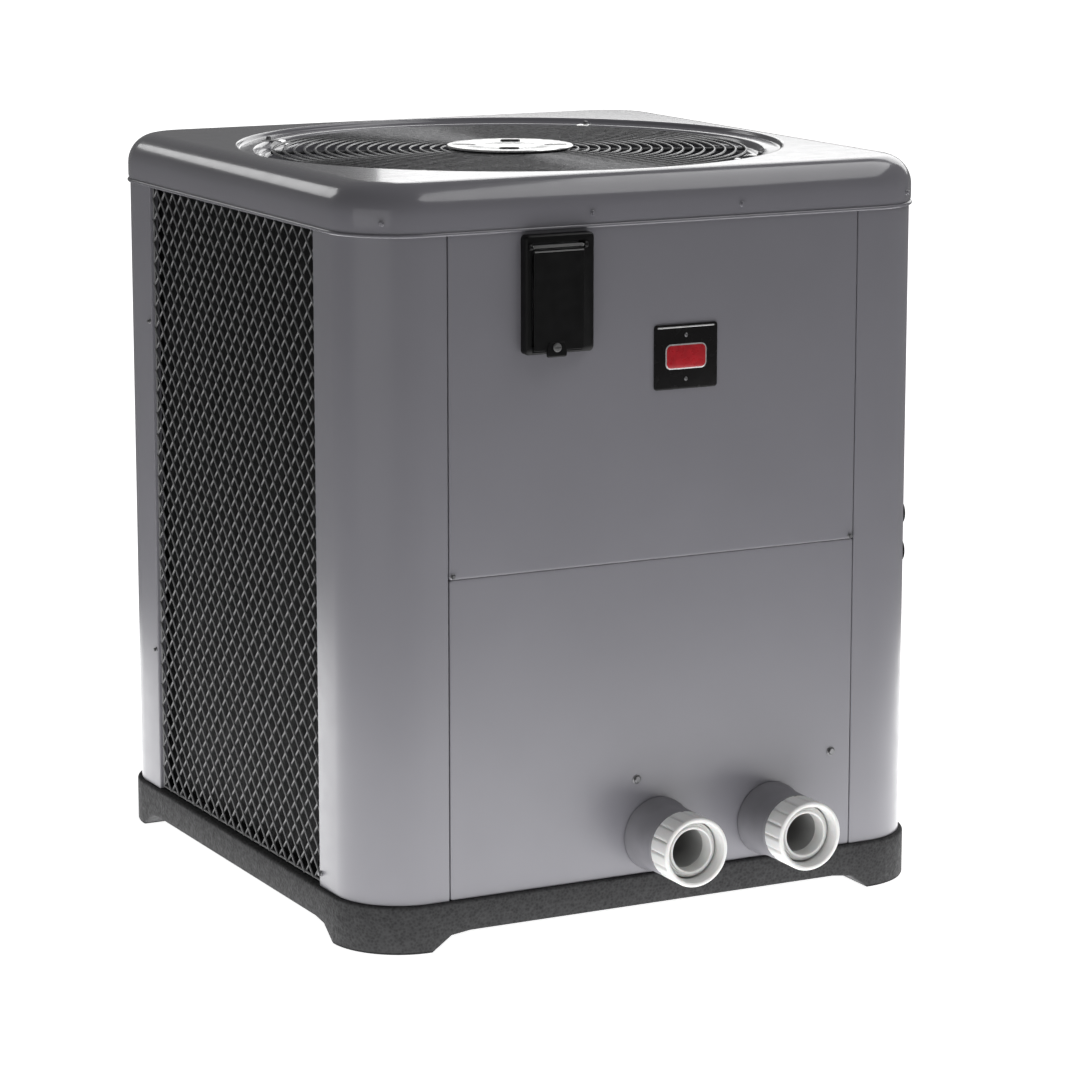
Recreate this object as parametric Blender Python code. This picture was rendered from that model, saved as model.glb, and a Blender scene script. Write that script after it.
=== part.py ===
"""Pool and spa heat pump: a square cabinet with a top fan, a wrap-round coil and two water unions.

Metres, +Z up. The origin is on the ground under the middle of the cabinet, and the front faces -Y.
"""

import math

import bmesh
import bpy
from mathutils import Matrix, Vector

# Cabinet
BASE_SIDE = 0.803
BASE_RADIUS = 0.092
BASE_TOP = 0.0604
SKIRT_BOTTOM = 0.0215
FOOT_TIP = 0.300
FOOT_ROOT = 0.275
PAD_HALF = 0.070
PANEL_INSET = 0.006
SHEET = 0.0012
GAP = 0.0003
SEAM = 0.0012
FRONT_SEAM_X = 0.2825
PANEL_SPLIT = 0.457
COVER_BOTTOM = 0.8705
HEIGHT = 0.933
MESH_HALF = 0.260

WALL = BASE_SIDE / 2 - PANEL_INSET
WALL_RADIUS = BASE_RADIUS - PANEL_INSET
CABINET_LOW = BASE_TOP + GAP
CABINET_HIGH = 0.895

# Top cover and fan
COVER_HALF = 0.398
COVER_RADIUS = BASE_RADIUS - (BASE_SIDE / 2 - COVER_HALF)
COVER_SHEET = 0.0012
COVER_FILLET = 0.035
LIP_RADIUS = 0.353
THROAT_RADIUS = 0.312
THROAT_TOP = 0.914
THROAT_BOTTOM = 0.884
GUARD_TOP = 0.9275
GUARD_WIRE = 0.004
GUARD_RADIUS = 0.306
TAB_REACH = 0.329
TAB_HALF = 0.008
PLATE_RADIUS = 0.082
PLATE_LOW = 0.928
PLATE_THICK = 0.003
MOTOR_RADIUS = 0.070
MOTOR_LOW = 0.822
FAN_RADIUS = 0.285
FAN_BLADES = 4
SHAFT_RADIUS = 0.0064
FAN_Z = 0.796

# Water unions
PIPE_Z = 0.109
INLET_X = 0.0035
OUTLET_X = 0.165
FRONT_REACH = 0.100
BORE_RADIUS = 0.02625
PIPE_RADIUS = 0.0302
NUT_RADIUS = 0.0436
NUT_LENGTH = 0.040
NUT_MOUTH = 0.0370
COLLAR_RADIUS = 0.047
SHOULDER_RADIUS = 0.0352
SEAL_RADIUS = 0.0348
SEAL_THICK = 0.0028
PIPE_TAIL = -0.300

# Control cover
COVER_X = (-0.1862, -0.0939)
COVER_Z = (0.7235, 0.8670)
COVER_PROUD = 0.017
FLAP_X = (-0.1777, -0.1107)
FLAP_THICK = 0.0025
HINGE_Z = 0.853
HINGE_RADIUS = 0.0016
PIN_HALF = 0.038
KNUCKLE_HALF = 0.0040

FRAME_DEPTH = 0.014
FLAP_FRONT = -WALL - COVER_PROUD
HINGE_Y = FLAP_FRONT + 0.0013
FLAP_FOOT = 0.7290
TAB_FOOT = 0.7204
TAB_X = (-0.1590, -0.1360)
LATCH_X = -0.1475
LATCH_Z = 0.7320
POCKET_X = (-0.1782, -0.1102)
POCKET_Z = (0.7335, 0.8580)
KNUCKLE_X = ((-0.1852, -0.1785), (-0.1099, -0.1015))
PANEL_FACE = -WALL - 0.0045
BUTTON_HALF = (0.0075, 0.0060)
BUTTON_PROUD = 0.0030
BUTTONS = {
    "mode": (-0.1610, 0.790),
    "power": (-0.1275, 0.790),
    "down": (-0.1610, 0.760),
    "up": (-0.1275, 0.760),
}
LENS_X = (-0.172, -0.117)
LENS_Z = (0.813, 0.843)

# Front details
BADGE_X = (-0.0053, 0.0825)
BADGE_Z = (0.6663, 0.7463)
BADGE_SHAPE = (BADGE_Z[1] - BADGE_Z[0]) / (BADGE_X[1] - BADGE_X[0])
SCREWS = {
    "panel_screw_left": (-0.026, 0.182),
    "panel_screw_right": (0.254, 0.185),
}
ENTRY_Z = (0.470, 0.421)
ENTRY_Y = -0.330
ENTRY_RADIUS = 0.0138
ENTRY_HOLE = 0.0110

# Coil
COIL_OUT = 0.374
COIL_THICK = 0.038
COIL_RADIUS = 0.066
COIL_END_Y = -0.285
COIL_TOP = 0.865
HEADER_RADIUS = 0.0143
HEADER_SPOT = (0.350, -0.310, 0)
HEADER_Z = (0.120, 0.800)

# Parts on the base, out of sight
COMPRESSOR_SPOT = (-0.170, 0.060)
COMPRESSOR_RADIUS = 0.084
COMPRESSOR_Z = (0.080, 0.426)
MOUNT_Z = (0.078, 0.083)
MOUNT_HALF = 0.095
MOUNT_GROMMET = 0.014
EXCHANGER_RADIUS = 0.125
EXCHANGER_TOP = 0.518
EXCHANGER_Y = 0.020
VALVE_SPOT = (0, 0.200, 0.520)
TANK_SPOT = (-0.200, -0.170, CABINET_LOW)
TANK_HEIGHT = 0.300
DRIER_SPOT = (0.260, -0.200, 0.160)
DRIER_HEIGHT = 0.180
LINE_RADIUS = 0.0064
SUCTION_RADIUS = 0.0095

# Electrical box
BOX_LOW = (-0.262, -0.368, 0.560)
BOX_HIGH = (0.262, -0.308, 0.850)
BOX_WALL = 0.0015


def clear_scene():
    for old in list(bpy.data.objects):
        bpy.data.objects.remove(old, do_unlink=True)


def finish(name, colour, roughness, metallic=0.0):
    material = bpy.data.materials.get(name)
    if material is None:
        material = bpy.data.materials.new(name)
        material.use_nodes = True
        shader = material.node_tree.nodes["Principled BSDF"]
        shader.inputs["Base Color"].default_value = (*colour, 1.0)
        shader.inputs["Roughness"].default_value = roughness
        shader.inputs["Metallic"].default_value = metallic
    return material


def cabinet_paint():
    return finish("cabinet_paint", (0.125, 0.124, 0.135), 0.35, 0.3)


def base_plastic():
    return finish("base_plastic", (0.05, 0.05, 0.052), 0.8)


def black_plastic():
    return finish("black_plastic", (0.008, 0.008, 0.009), 0.4)


def white_pvc():
    return finish("white_pvc", (0.72, 0.72, 0.70), 0.4)


def grey_plastic():
    return finish("grey_plastic", (0.13, 0.13, 0.14), 0.55)


def steel():
    return finish("galvanised_steel", (0.5, 0.5, 0.5), 0.4, 0.9)


def guard_wire():
    return finish("guard_wire", (0.12, 0.12, 0.125), 0.45, 0.6)


def copper():
    return finish("copper", (0.7, 0.33, 0.2), 0.35, 1.0)


def coil_fins():
    return finish("coil_fins", (0.1, 0.1, 0.1), 0.5, 0.7)


def rubber():
    return finish("rubber", (0.012, 0.012, 0.012), 0.85)


def polished_steel():
    return finish("polished_steel", (0.8, 0.8, 0.8), 0.2, 1.0)


def new_object(name, mesh, material, parent=None, at=(0, 0, 0)):
    thing = bpy.data.objects.new(name, mesh)
    bpy.context.scene.collection.objects.link(thing)
    mesh.materials.append(material)
    thing.location = at
    thing.parent = parent
    return thing


def from_bmesh(name, shape, material, parent=None, at=(0, 0, 0), smooth=False):
    bmesh.ops.recalc_face_normals(shape, faces=shape.faces)
    mesh = bpy.data.meshes.new(name)
    shape.to_mesh(mesh)
    shape.free()
    if smooth:
        mesh.shade_smooth()
        mesh.set_sharp_from_angle(angle=math.radians(35))
    return new_object(name, mesh, material, parent, at)


def empty(name, at):
    holder = bpy.data.objects.new(name, None)
    bpy.context.scene.collection.objects.link(holder)
    holder.location = at
    return holder


def arc(centre, radius, start, end, steps):
    """Points on an arc, angles in degrees, both ends included."""
    points = []
    for i in range(steps + 1):
        angle = math.radians(start + (end - start) * i / steps)
        points.append((centre[0] + radius * math.cos(angle), centre[1] + radius * math.sin(angle)))
    return points


def rounded_square(half, radius, steps):
    """A closed outline, counter-clockwise from the middle of the +X side's corner."""
    points = []
    inner = half - radius
    for turn, (sx, sy) in enumerate(((1, 1), (-1, 1), (-1, -1), (1, -1))):
        points += arc((sx * inner, sy * inner), radius, 90 * turn, 90 * turn + 90, steps)
    return points


# How an outline's two numbers and its depth become x, y and z
PLACES = {
    "Z": lambda a, b, c: (a, b, c),
    "Y": lambda a, b, c: (a, c, b),
    "X": lambda a, b, c: (c, a, b),
}


def prism(points, low, high, axis="Z"):
    """A bmesh of an outline extruded along an axis. Outlines are (x, y), (x, z) or (y, z)."""
    place = PLACES[axis]
    shape = bmesh.new()
    bottom = [shape.verts.new(place(a, b, low)) for a, b in points]
    top = [shape.verts.new(place(a, b, high)) for a, b in points]
    shape.faces.new(bottom)
    shape.faces.new(top)
    count = len(points)
    for i in range(count):
        j = (i + 1) % count
        shape.faces.new((bottom[i], bottom[j], top[j], top[i]))
    return shape


def block(low, high):
    outline = [(low[0], low[1]), (high[0], low[1]), (high[0], high[1]), (low[0], high[1])]
    return prism(outline, low[2], high[2])


def box(name, low, high, material, bevel=0.0, parent=None, at=(0, 0, 0)):
    thing = from_bmesh(name, block(low, high), material, parent, at)
    if bevel:
        add_bevel(thing, bevel)
    return thing


def add_bevel(thing, width, segments=1):
    rounding = thing.modifiers.new("edges", "BEVEL")
    rounding.width = width
    rounding.segments = segments
    rounding.limit_method = "ANGLE"
    rounding.angle_limit = math.radians(50)


def turned(profile, segments, axis="Z"):
    """A closed (radius, height) profile turned round an axis. Points at radius 0 close the ends."""
    shape = bmesh.new()
    rings = []
    for radius, height in profile:
        if radius == 0:
            rings.append([shape.verts.new((0, 0, height))])
            continue
        ring = []
        for i in range(segments):
            angle = 2 * math.pi * i / segments
            ring.append(shape.verts.new((radius * math.cos(angle), radius * math.sin(angle), height)))
        rings.append(ring)
    pairs = list(zip(rings, rings[1:]))
    if len(rings[0]) > 1:
        pairs.append((rings[-1], rings[0]))
    for lower, upper in pairs:
        join_rings(shape, lower, upper, segments)
    swings_about = {"X": "Y", "Y": "X"}
    if axis in swings_about:
        swing = Matrix.Rotation(math.radians(90), 4, swings_about[axis])
        bmesh.ops.transform(shape, matrix=swing, verts=shape.verts)
    return shape


def join_rings(shape, lower, upper, segments):
    for i in range(segments):
        j = (i + 1) % segments
        if len(lower) == 1:
            shape.faces.new((lower[0], upper[i], upper[j]))
        elif len(upper) == 1:
            shape.faces.new((lower[i], lower[j], upper[0]))
        else:
            shape.faces.new((lower[i], lower[j], upper[j], upper[i]))


def loft(loops):
    """Joins closed loops of equal length, the last one back to the first."""
    shape = bmesh.new()
    rings = [[shape.verts.new(point) for point in loop] for loop in loops]
    count = len(rings[0])
    for lower, upper in zip(rings, rings[1:] + rings[:1]):
        for i in range(count):
            j = (i + 1) % count
            shape.faces.new((lower[i], lower[j], upper[j], upper[i]))
    return shape


def pierced(cells, low, high, place):
    """A flat plate with a hole in each cell. A cell is (outline, hole), with equal numbers of points."""
    shape = bmesh.new()
    known = []
    edges = {}

    def number(point):
        """The same number for every copy of a corner that several cells share."""
        for i, other in enumerate(known):
            if math.dist(point, other) < 0.00005:
                return i
        known.append(point)
        return len(known) - 1

    for outline, hole in cells:
        count = len(outline)
        outer = [[shape.verts.new(place(a, b, c)) for a, b in outline] for c in (low, high)]
        inner = [[shape.verts.new(place(a, b, c)) for a, b in hole] for c in (low, high)]
        for i in range(count):
            j = (i + 1) % count
            shape.faces.new((outer[0][i], outer[0][j], inner[0][j], inner[0][i]))
            shape.faces.new((outer[1][i], outer[1][j], inner[1][j], inner[1][i]))
            shape.faces.new((inner[0][i], inner[0][j], inner[1][j], inner[1][i]))
            key = frozenset((number(outline[i]), number(outline[j])))
            edges.setdefault(key, []).append((outer[0][i], outer[0][j], outer[1][j], outer[1][i]))
    for sides in edges.values():
        if len(sides) == 1:
            shape.faces.new(sides[0])
    bmesh.ops.remove_doubles(shape, verts=shape.verts, dist=0.00005)
    return shape


def cut(thing, cutter, operation="DIFFERENCE"):
    tool = from_bmesh(thing.name + "_cutter", cutter, base_plastic())
    tool.hide_render = True
    tool.display_type = "WIRE"
    change = thing.modifiers.new("cut", "BOOLEAN")
    change.operation = operation
    change.object = tool


def pipe(name, route, radius, material, resolution=1):
    """A round pipe along a smoothed route, with filled ends."""
    curve = bpy.data.curves.new(name, "CURVE")
    curve.dimensions = "3D"
    curve.bevel_depth = radius
    curve.bevel_resolution = resolution
    curve.use_fill_caps = True
    spline = curve.splines.new("POLY")
    points = rounded_route(route, radius * 2.5)
    spline.points.add(len(points) - 1)
    for slot, point in zip(spline.points, points):
        slot.co = (*point, 1)
    thing = bpy.data.objects.new(name, curve)
    curve.materials.append(material)
    bpy.context.scene.collection.objects.link(thing)
    return thing


def rounded_route(route, bend, steps=3):
    """Replaces each inner corner by a smooth bend that starts and ends a bend length from it."""
    route = [Vector(point) for point in route]
    points = [route[0]]
    for before, corner, after in zip(route, route[1:], route[2:]):
        start = corner + (before - corner).normalized() * min(bend, (before - corner).length * 0.45)
        end = corner + (after - corner).normalized() * min(bend, (after - corner).length * 0.45)
        for i in range(steps + 1):
            t = i / steps
            points.append(start * (1 - t) ** 2 + corner * 2 * t * (1 - t) + end * t ** 2)
    points.append(route[-1])
    return points


def make_base_pan():
    side = BASE_SIDE / 2
    pan = from_bmesh("base_pan", prism(rounded_square(side, BASE_RADIUS, 8), 0, BASE_TOP), base_plastic())
    below = -0.01
    channel = [(-FOOT_TIP, below), (FOOT_TIP, below), (FOOT_TIP, 0), (FOOT_ROOT, SKIRT_BOTTOM),
               (-FOOT_ROOT, SKIRT_BOTTOM), (-FOOT_TIP, 0)]
    for axis in ("X", "Y"):
        cut(pan, prism(channel, -side - 0.01, side + 0.01, axis))
    cut(pan, block((-PAD_HALF, -PAD_HALF, 0), (PAD_HALF, PAD_HALF, SKIRT_BOTTOM + 0.01)), "UNION")


def mirrored(points, sx, sy):
    return [(sx * x, sy * y) for x, y in points]


def make_corner_posts():
    """Sheet wrapped round each corner, with a return flange where it meets a coil guard."""
    flange = 0.012
    inner = WALL - WALL_RADIUS
    corner_out = arc((inner, inner), WALL_RADIUS, 0, 90, 8)
    corner_in = arc((inner, inner), WALL_RADIUS - SHEET, 90, 0, 8)
    side_out = [(WALL - flange, MESH_HALF), (WALL, MESH_HALF)]
    side_in = [(WALL - SHEET, MESH_HALF + SHEET), (WALL - flange, MESH_HALF + SHEET)]
    seam = FRONT_SEAM_X + SEAM / 2
    front = side_out + corner_out + [(seam, WALL), (seam, WALL - SHEET)] + corner_in + side_in
    back_out = [(MESH_HALF, WALL), (MESH_HALF, WALL - flange)]
    back_in = [(MESH_HALF + SHEET, WALL - flange), (MESH_HALF + SHEET, WALL - SHEET)]
    rear = side_out + corner_out + back_out + back_in + corner_in + side_in
    for side, sx in (("left", -1), ("right", 1)):
        for end, sy, outline in (("front", -1, front), ("rear", 1, rear)):
            shape = prism(mirrored(outline, sx, sy), CABINET_LOW, CABINET_HIGH)
            post = from_bmesh(f"corner_post_{end}_{side}", shape, cabinet_paint(), smooth=True)
            if (end, side) == ("front", "right"):
                for height in ENTRY_Z:
                    hole = turned([(0, -0.03), (ENTRY_HOLE, -0.03), (ENTRY_HOLE, 0.03), (0, 0.03)], 16, "X")
                    bmesh.ops.transform(hole, matrix=entry_place(height), verts=hole.verts)
                    cut(post, hole)


def entry_place(height):
    """Where a cable entry sits on the curve of the front right post, pointing outward."""
    inner = WALL - WALL_RADIUS
    angle = math.asin((ENTRY_Y + inner) / WALL_RADIUS)
    spot = Vector((inner + WALL_RADIUS * math.cos(angle), ENTRY_Y, height))
    return Matrix.Translation(spot) @ Matrix.Rotation(angle, 4, "Z")


def make_entry_grommets():
    neck = ENTRY_HOLE - 0.0004
    back = -0.0075
    inside = -0.0040
    outside = 0.0012
    lip = 0.0032
    profile = [(0, back), (ENTRY_RADIUS, back), (ENTRY_RADIUS, inside), (neck, inside), (neck, outside),
               (ENTRY_RADIUS, outside), (ENTRY_RADIUS - 0.001, lip), (0.006, lip), (0.005, 0.0008),
               (0, 0.0008)]
    for name, height in zip(("entry_grommet_upper", "entry_grommet_lower"), ENTRY_Z):
        shape = turned(profile, 16, "X")
        bmesh.ops.transform(shape, matrix=entry_place(height), verts=shape.verts)
        from_bmesh(name, shape, rubber(), smooth=True)


def make_front_panels():
    half = FRONT_SEAM_X - SEAM / 2
    upper = [(-half, PANEL_SPLIT + SEAM / 2), (half, PANEL_SPLIT + SEAM / 2), (half, CABINET_HIGH),
             (-half, CABINET_HIGH)]
    wiring = [(-0.160, 0.760), (-0.115, 0.760), (-0.115, 0.830), (-0.160, 0.830)]
    shape = pierced([(upper, wiring)], -WALL, -WALL + SHEET, PLACES["Y"])
    from_bmesh("front_panel_upper", shape, cabinet_paint())
    low = (-half, -WALL, CABINET_LOW)
    high = (half, -WALL + SHEET, PANEL_SPLIT - SEAM / 2)
    lower = box("front_panel_lower", low, high, cabinet_paint())
    radius = PIPE_RADIUS + 0.0035
    for x in (INLET_X, OUTLET_X):
        hole = turned([(0, -0.01), (radius, -0.01), (radius, 0.01), (0, 0.01)], 24, "Y")
        bmesh.ops.translate(hole, vec=(x, -WALL, PIPE_Z), verts=hole.verts)
        cut(lower, hole)


def square_loop(half, radius, height, straight=5, corner=5):
    """A rounded square of points with the straight sides divided as well."""
    inner = half - radius
    points = []
    for turn in range(4):
        spin = Matrix.Rotation(math.pi / 2 * turn, 3, "Z")
        side = [(half, -inner + 2 * inner * i / straight) for i in range(straight)]
        for x, y in side + arc((inner, inner), radius, 0, 90, corner)[:-1]:
            points.append(spin @ Vector((x, y, height)))
    return points


def round_loop(radius, height):
    """A circle whose points lie at the same bearings as the rounded square's."""
    loop = []
    for point in square_loop(COVER_HALF, BASE_RADIUS, height):
        bearing = math.atan2(point.y, point.x)
        loop.append(Vector((radius * math.cos(bearing), radius * math.sin(bearing), height)))
    return loop


def make_top_cover():
    """A pressed skirt, a rounded shoulder, a flat top and a dished lip down to the fan throat."""
    skirt = [(0, COVER_BOTTOM, 1, 0)]
    for i in range(5):
        angle = math.radians(90 * i / 4)
        inset = COVER_FILLET * (1 - math.cos(angle))
        height = HEIGHT - COVER_FILLET + COVER_FILLET * math.sin(angle)
        skirt.append((inset, height, math.cos(angle), math.sin(angle)))
    lip = [(LIP_RADIUS, HEIGHT, -0.2, 1), (LIP_RADIUS - 0.012, HEIGHT - 0.003, -0.4, 0.9),
           (THROAT_RADIUS + 0.008, THROAT_TOP + 0.003, -0.5, 0.85),
           (THROAT_RADIUS, THROAT_TOP - 0.004, -0.9, 0.4),
           (THROAT_RADIUS, THROAT_BOTTOM, -1, 0)]
    loops = []
    for depth in (0, COVER_SHEET):
        side = []
        for inset, height, nx, nz in skirt:
            back = inset + depth * nx
            side.append(square_loop(COVER_HALF - back, COVER_RADIUS - back, height - depth * nz))
        for radius, height, nx, nz in lip:
            side.append(round_loop(radius - depth * nx, height - depth * nz))
        loops += side if depth == 0 else side[::-1]
    from_bmesh("top_cover", loft(loops), cabinet_paint(), smooth=True)


def ring_cells(radii, spokes, bar, steps):
    """Cells between rings and spokes, as outlines and smaller holes."""
    cells = []
    for low, high in zip(radii, radii[1:]):
        for k in range(spokes):
            start = 360 * k / spokes
            end = 360 * (k + 1) / spokes
            outline = arc((0, 0), low, start, end, steps) + arc((0, 0), high, end, start, steps)
            inside = []
            for radius, first, last in ((low + bar / 2, start, end), (high - bar / 2, end, start)):
                trim = math.copysign(math.degrees(bar / 2 / radius), last - first)
                inside += arc((0, 0), radius, first + trim, last - trim, steps)
            cells.append((outline, inside))
    return cells


def make_fan_guard():
    count = 4
    inner = 0.062
    radii = [inner + (GUARD_RADIUS - inner) * i / count for i in range(count + 1)]
    cells = ring_cells(radii, 8, 0.008, 3)
    guard = from_bmesh("fan_guard", pierced(cells, GUARD_TOP - GUARD_WIRE, GUARD_TOP, PLACES["Z"]),
                       guard_wire())
    for turn in range(4):
        low = (GUARD_RADIUS - 0.006, -TAB_HALF, GUARD_TOP - 0.0032)
        tab = block(low, (TAB_REACH, TAB_HALF, GUARD_TOP - 0.0008))
        swing = Matrix.Rotation(math.pi / 2 * turn + math.pi / 4, 3, "Z")
        bmesh.ops.rotate(tab, matrix=swing, verts=tab.verts)
        cut(guard, tab, "UNION")


def make_motor():
    plate = [(0, PLATE_LOW), (PLATE_RADIUS, PLATE_LOW), (PLATE_RADIUS, PLATE_LOW + 0.002),
             (PLATE_RADIUS - 0.001, PLATE_LOW + PLATE_THICK), (0, PLATE_LOW + PLATE_THICK)]
    from_bmesh("motor_mount_plate", turned(plate, 32), polished_steel(), smooth=True)
    neck = 0.050
    top = GUARD_TOP - GUARD_WIRE - 0.001
    edge = 0.006
    body = [(0, MOTOR_LOW), (0.030, MOTOR_LOW), (0.034, MOTOR_LOW + 0.008),
            (MOTOR_RADIUS - edge, MOTOR_LOW + 0.010), (MOTOR_RADIUS, MOTOR_LOW + 0.016),
            (MOTOR_RADIUS, top - edge), (MOTOR_RADIUS - edge, top), (neck, top),
            (neck, PLATE_LOW - GAP), (0, PLATE_LOW - GAP)]
    from_bmesh("fan_motor", turned(body, 24), black_plastic(), smooth=True)


def blade(start):
    """One pitched, cupped blade as a closed shell, from the hub out."""
    across = 4
    along = 4
    root = 0.036
    thick = 0.0025
    cup = 0.006
    shape = bmesh.new()
    grid = {}
    for layer in (0, 1):
        for i in range(along + 1):
            share = i / along
            radius = root + (FAN_RADIUS - root) * share
            span = math.radians(62 - 6 * share)
            sweep = math.radians(14) * share ** 2
            for j in range(across + 1):
                t = j / across - 0.5
                angle = start + t * span + sweep
                rise = 0.014 + 0.020 * math.sqrt(share)
                height = FAN_Z + rise * 2 * t * (1 - 0.25 * share) - cup * (1 - 4 * t * t)
                height += thick * (layer - 0.5)
                spot = (radius * math.cos(angle), radius * math.sin(angle), height)
                grid[layer, i, j] = shape.verts.new(spot)
    for i in range(along):
        for j in range(across):
            for layer in (0, 1):
                shape.faces.new((grid[layer, i, j], grid[layer, i + 1, j], grid[layer, i + 1, j + 1],
                                 grid[layer, i, j + 1]))
    border = [(i, 0) for i in range(along)] + [(along, j) for j in range(across)]
    border += [(i, across) for i in range(along, 0, -1)] + [(0, j) for j in range(across, 0, -1)]
    for (a, b), (c, d) in zip(border, border[1:] + border[:1]):
        shape.faces.new((grid[0, a, b], grid[0, c, d], grid[1, c, d], grid[1, a, b]))
    return shape


def make_fan(axle):
    bore = SHAFT_RADIUS + GAP
    hub = [(bore, -0.018), (0.040, -0.018), (0.045, -0.013), (0.045, 0.014), (0.040, 0.018), (bore, 0.018)]
    shape = turned(hub, 24)
    fan = from_bmesh("fan_blades", shape, black_plastic(), axle, smooth=True)
    for k in range(FAN_BLADES):
        wing = blade(2 * math.pi * k / FAN_BLADES)
        cut(fan, wing, "UNION")
    top = MOTOR_LOW - GAP - FAN_Z
    end = -0.024
    chamfer = 0.001
    rod = [(0, end), (SHAFT_RADIUS - chamfer, end), (SHAFT_RADIUS, end + chamfer), (SHAFT_RADIUS, top),
           (0, top)]
    from_bmesh("motor_shaft", turned(rod, 16), steel(), axle, smooth=True)


def make_shroud():
    top = THROAT_BOTTOM - GAP
    wall = FAN_RADIUS + 0.015
    ring = [(wall, top - 0.100), (wall + 0.0015, top - 0.100), (wall + 0.0015, top - 0.0015),
            (0.322, top - 0.0015), (0.322, top), (wall, top)]
    from_bmesh("fan_shroud_ring", turned(ring, 32), steel(), smooth=True)


def diamond_cells(half, low, high, columns, rows, bar):
    """Half and whole diamonds that tile a rectangle, each with a smaller hole in it."""
    wide = 2 * half / columns
    tall = (high - low) / rows
    slack = 1e-6
    cells = []
    for row in range(2 * rows + 1):
        for column in range(2 * columns + 1):
            if (row + column) % 2 == 0:
                continue
            x = -half + column * wide / 2
            z = low + row * tall / 2
            corners = [(x, z - tall / 2), (x + wide / 2, z), (x, z + tall / 2), (x - wide / 2, z)]
            outline = [(a, b) for a, b in corners
                       if abs(a) < half + slack and low - slack < b < high + slack]
            if len(outline) < 3:
                continue
            middle_x = sum(a for a, b in outline) / len(outline)
            middle_z = sum(b for a, b in outline) / len(outline)
            keep = 1 - bar / (0.5 * min(wide, tall))
            hole = [(middle_x + (a - middle_x) * keep, middle_z + (b - middle_z) * keep)
                    for a, b in outline]
            cells.append((outline, hole))
    return cells


def make_coil_guards():
    out = WALL - 0.003
    half = MESH_HALF - 0.0005
    cells = diamond_cells(half, CABINET_LOW, CABINET_HIGH, 3, 5, 0.010)
    places = {
        "left": lambda a, b, c: (-c, a, b),
        "right": lambda a, b, c: (c, a, b),
        "back": lambda a, b, c: (a, c, b),
    }
    for side, place in places.items():
        from_bmesh(f"coil_guard_{side}", pierced(cells, out - 0.004, out, place), guard_wire())


def coil_outline():
    outline = [(-COIL_OUT, COIL_END_Y)]
    inner = COIL_OUT - COIL_RADIUS
    outline += arc((-inner, inner), COIL_RADIUS, 180, 90, 6)
    outline += arc((inner, inner), COIL_RADIUS, 90, 0, 6)
    outline += [(COIL_OUT, COIL_END_Y), (COIL_OUT - COIL_THICK, COIL_END_Y)]
    outline += arc((inner, inner), COIL_RADIUS - COIL_THICK, 0, 90, 6)
    outline += arc((-inner, inner), COIL_RADIUS - COIL_THICK, 90, 180, 6)
    outline.append((-COIL_OUT + COIL_THICK, COIL_END_Y))
    return outline


def make_coil():
    from_bmesh("evaporator_coil", prism(coil_outline(), CABINET_LOW, COIL_TOP), coil_fins(), smooth=True)
    low, high = HEADER_Z
    header = [(0, low), (HEADER_RADIUS, low), (HEADER_RADIUS, high), (0, high)]
    from_bmesh("coil_header", turned(header, 16), copper(), at=HEADER_SPOT, smooth=True)


def make_compressor():
    x, y = COMPRESSOR_SPOT
    radius = COMPRESSOR_RADIUS
    low, high = COMPRESSOR_Z
    shell = [(0, low), (radius - 0.012, low), (radius, low + 0.016), (radius, high - 0.041),
             (radius - 0.010, high - 0.021), (radius - 0.040, high - 0.004), (0, high)]
    compressor = from_bmesh("compressor", turned(shell, 24), black_plastic(), at=(x, y, 0), smooth=True)
    plate = prism(rounded_square(MOUNT_HALF, 0.02, 3), *MOUNT_Z)
    bmesh.ops.translate(plate, vec=(x, y, 0), verts=plate.verts)
    cut(compressor, plate, "UNION")
    top = MOUNT_Z[0] - GAP
    waist = (CABINET_LOW + top) / 2
    grommet = [(0, CABINET_LOW), (MOUNT_GROMMET, CABINET_LOW), (MOUNT_GROMMET - 0.003, waist),
               (MOUNT_GROMMET, top), (0, top)]
    reach = MOUNT_HALF - 0.018
    corners = (("a", -1, -1), ("b", 1, -1), ("c", 1, 1), ("d", -1, 1))
    for mark, sx, sy in corners:
        spot = (x + sx * reach, y + sy * reach, 0)
        from_bmesh(f"compressor_grommet_{mark}", turned(grommet, 12), rubber(), at=spot, smooth=True)


def make_heat_exchanger():
    radius = EXCHANGER_RADIUS
    top = EXCHANGER_TOP
    shell = [(0, CABINET_LOW), (radius - 0.008, CABINET_LOW), (radius, CABINET_LOW + 0.009),
             (radius, top - 0.038), (radius - 0.020, top - 0.018), (radius / 2, top - 0.003), (0, top)]
    spot = ((INLET_X + OUTLET_X) / 2, EXCHANGER_Y, 0)
    from_bmesh("heat_exchanger", turned(shell, 28), grey_plastic(), at=spot, smooth=True)


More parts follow.
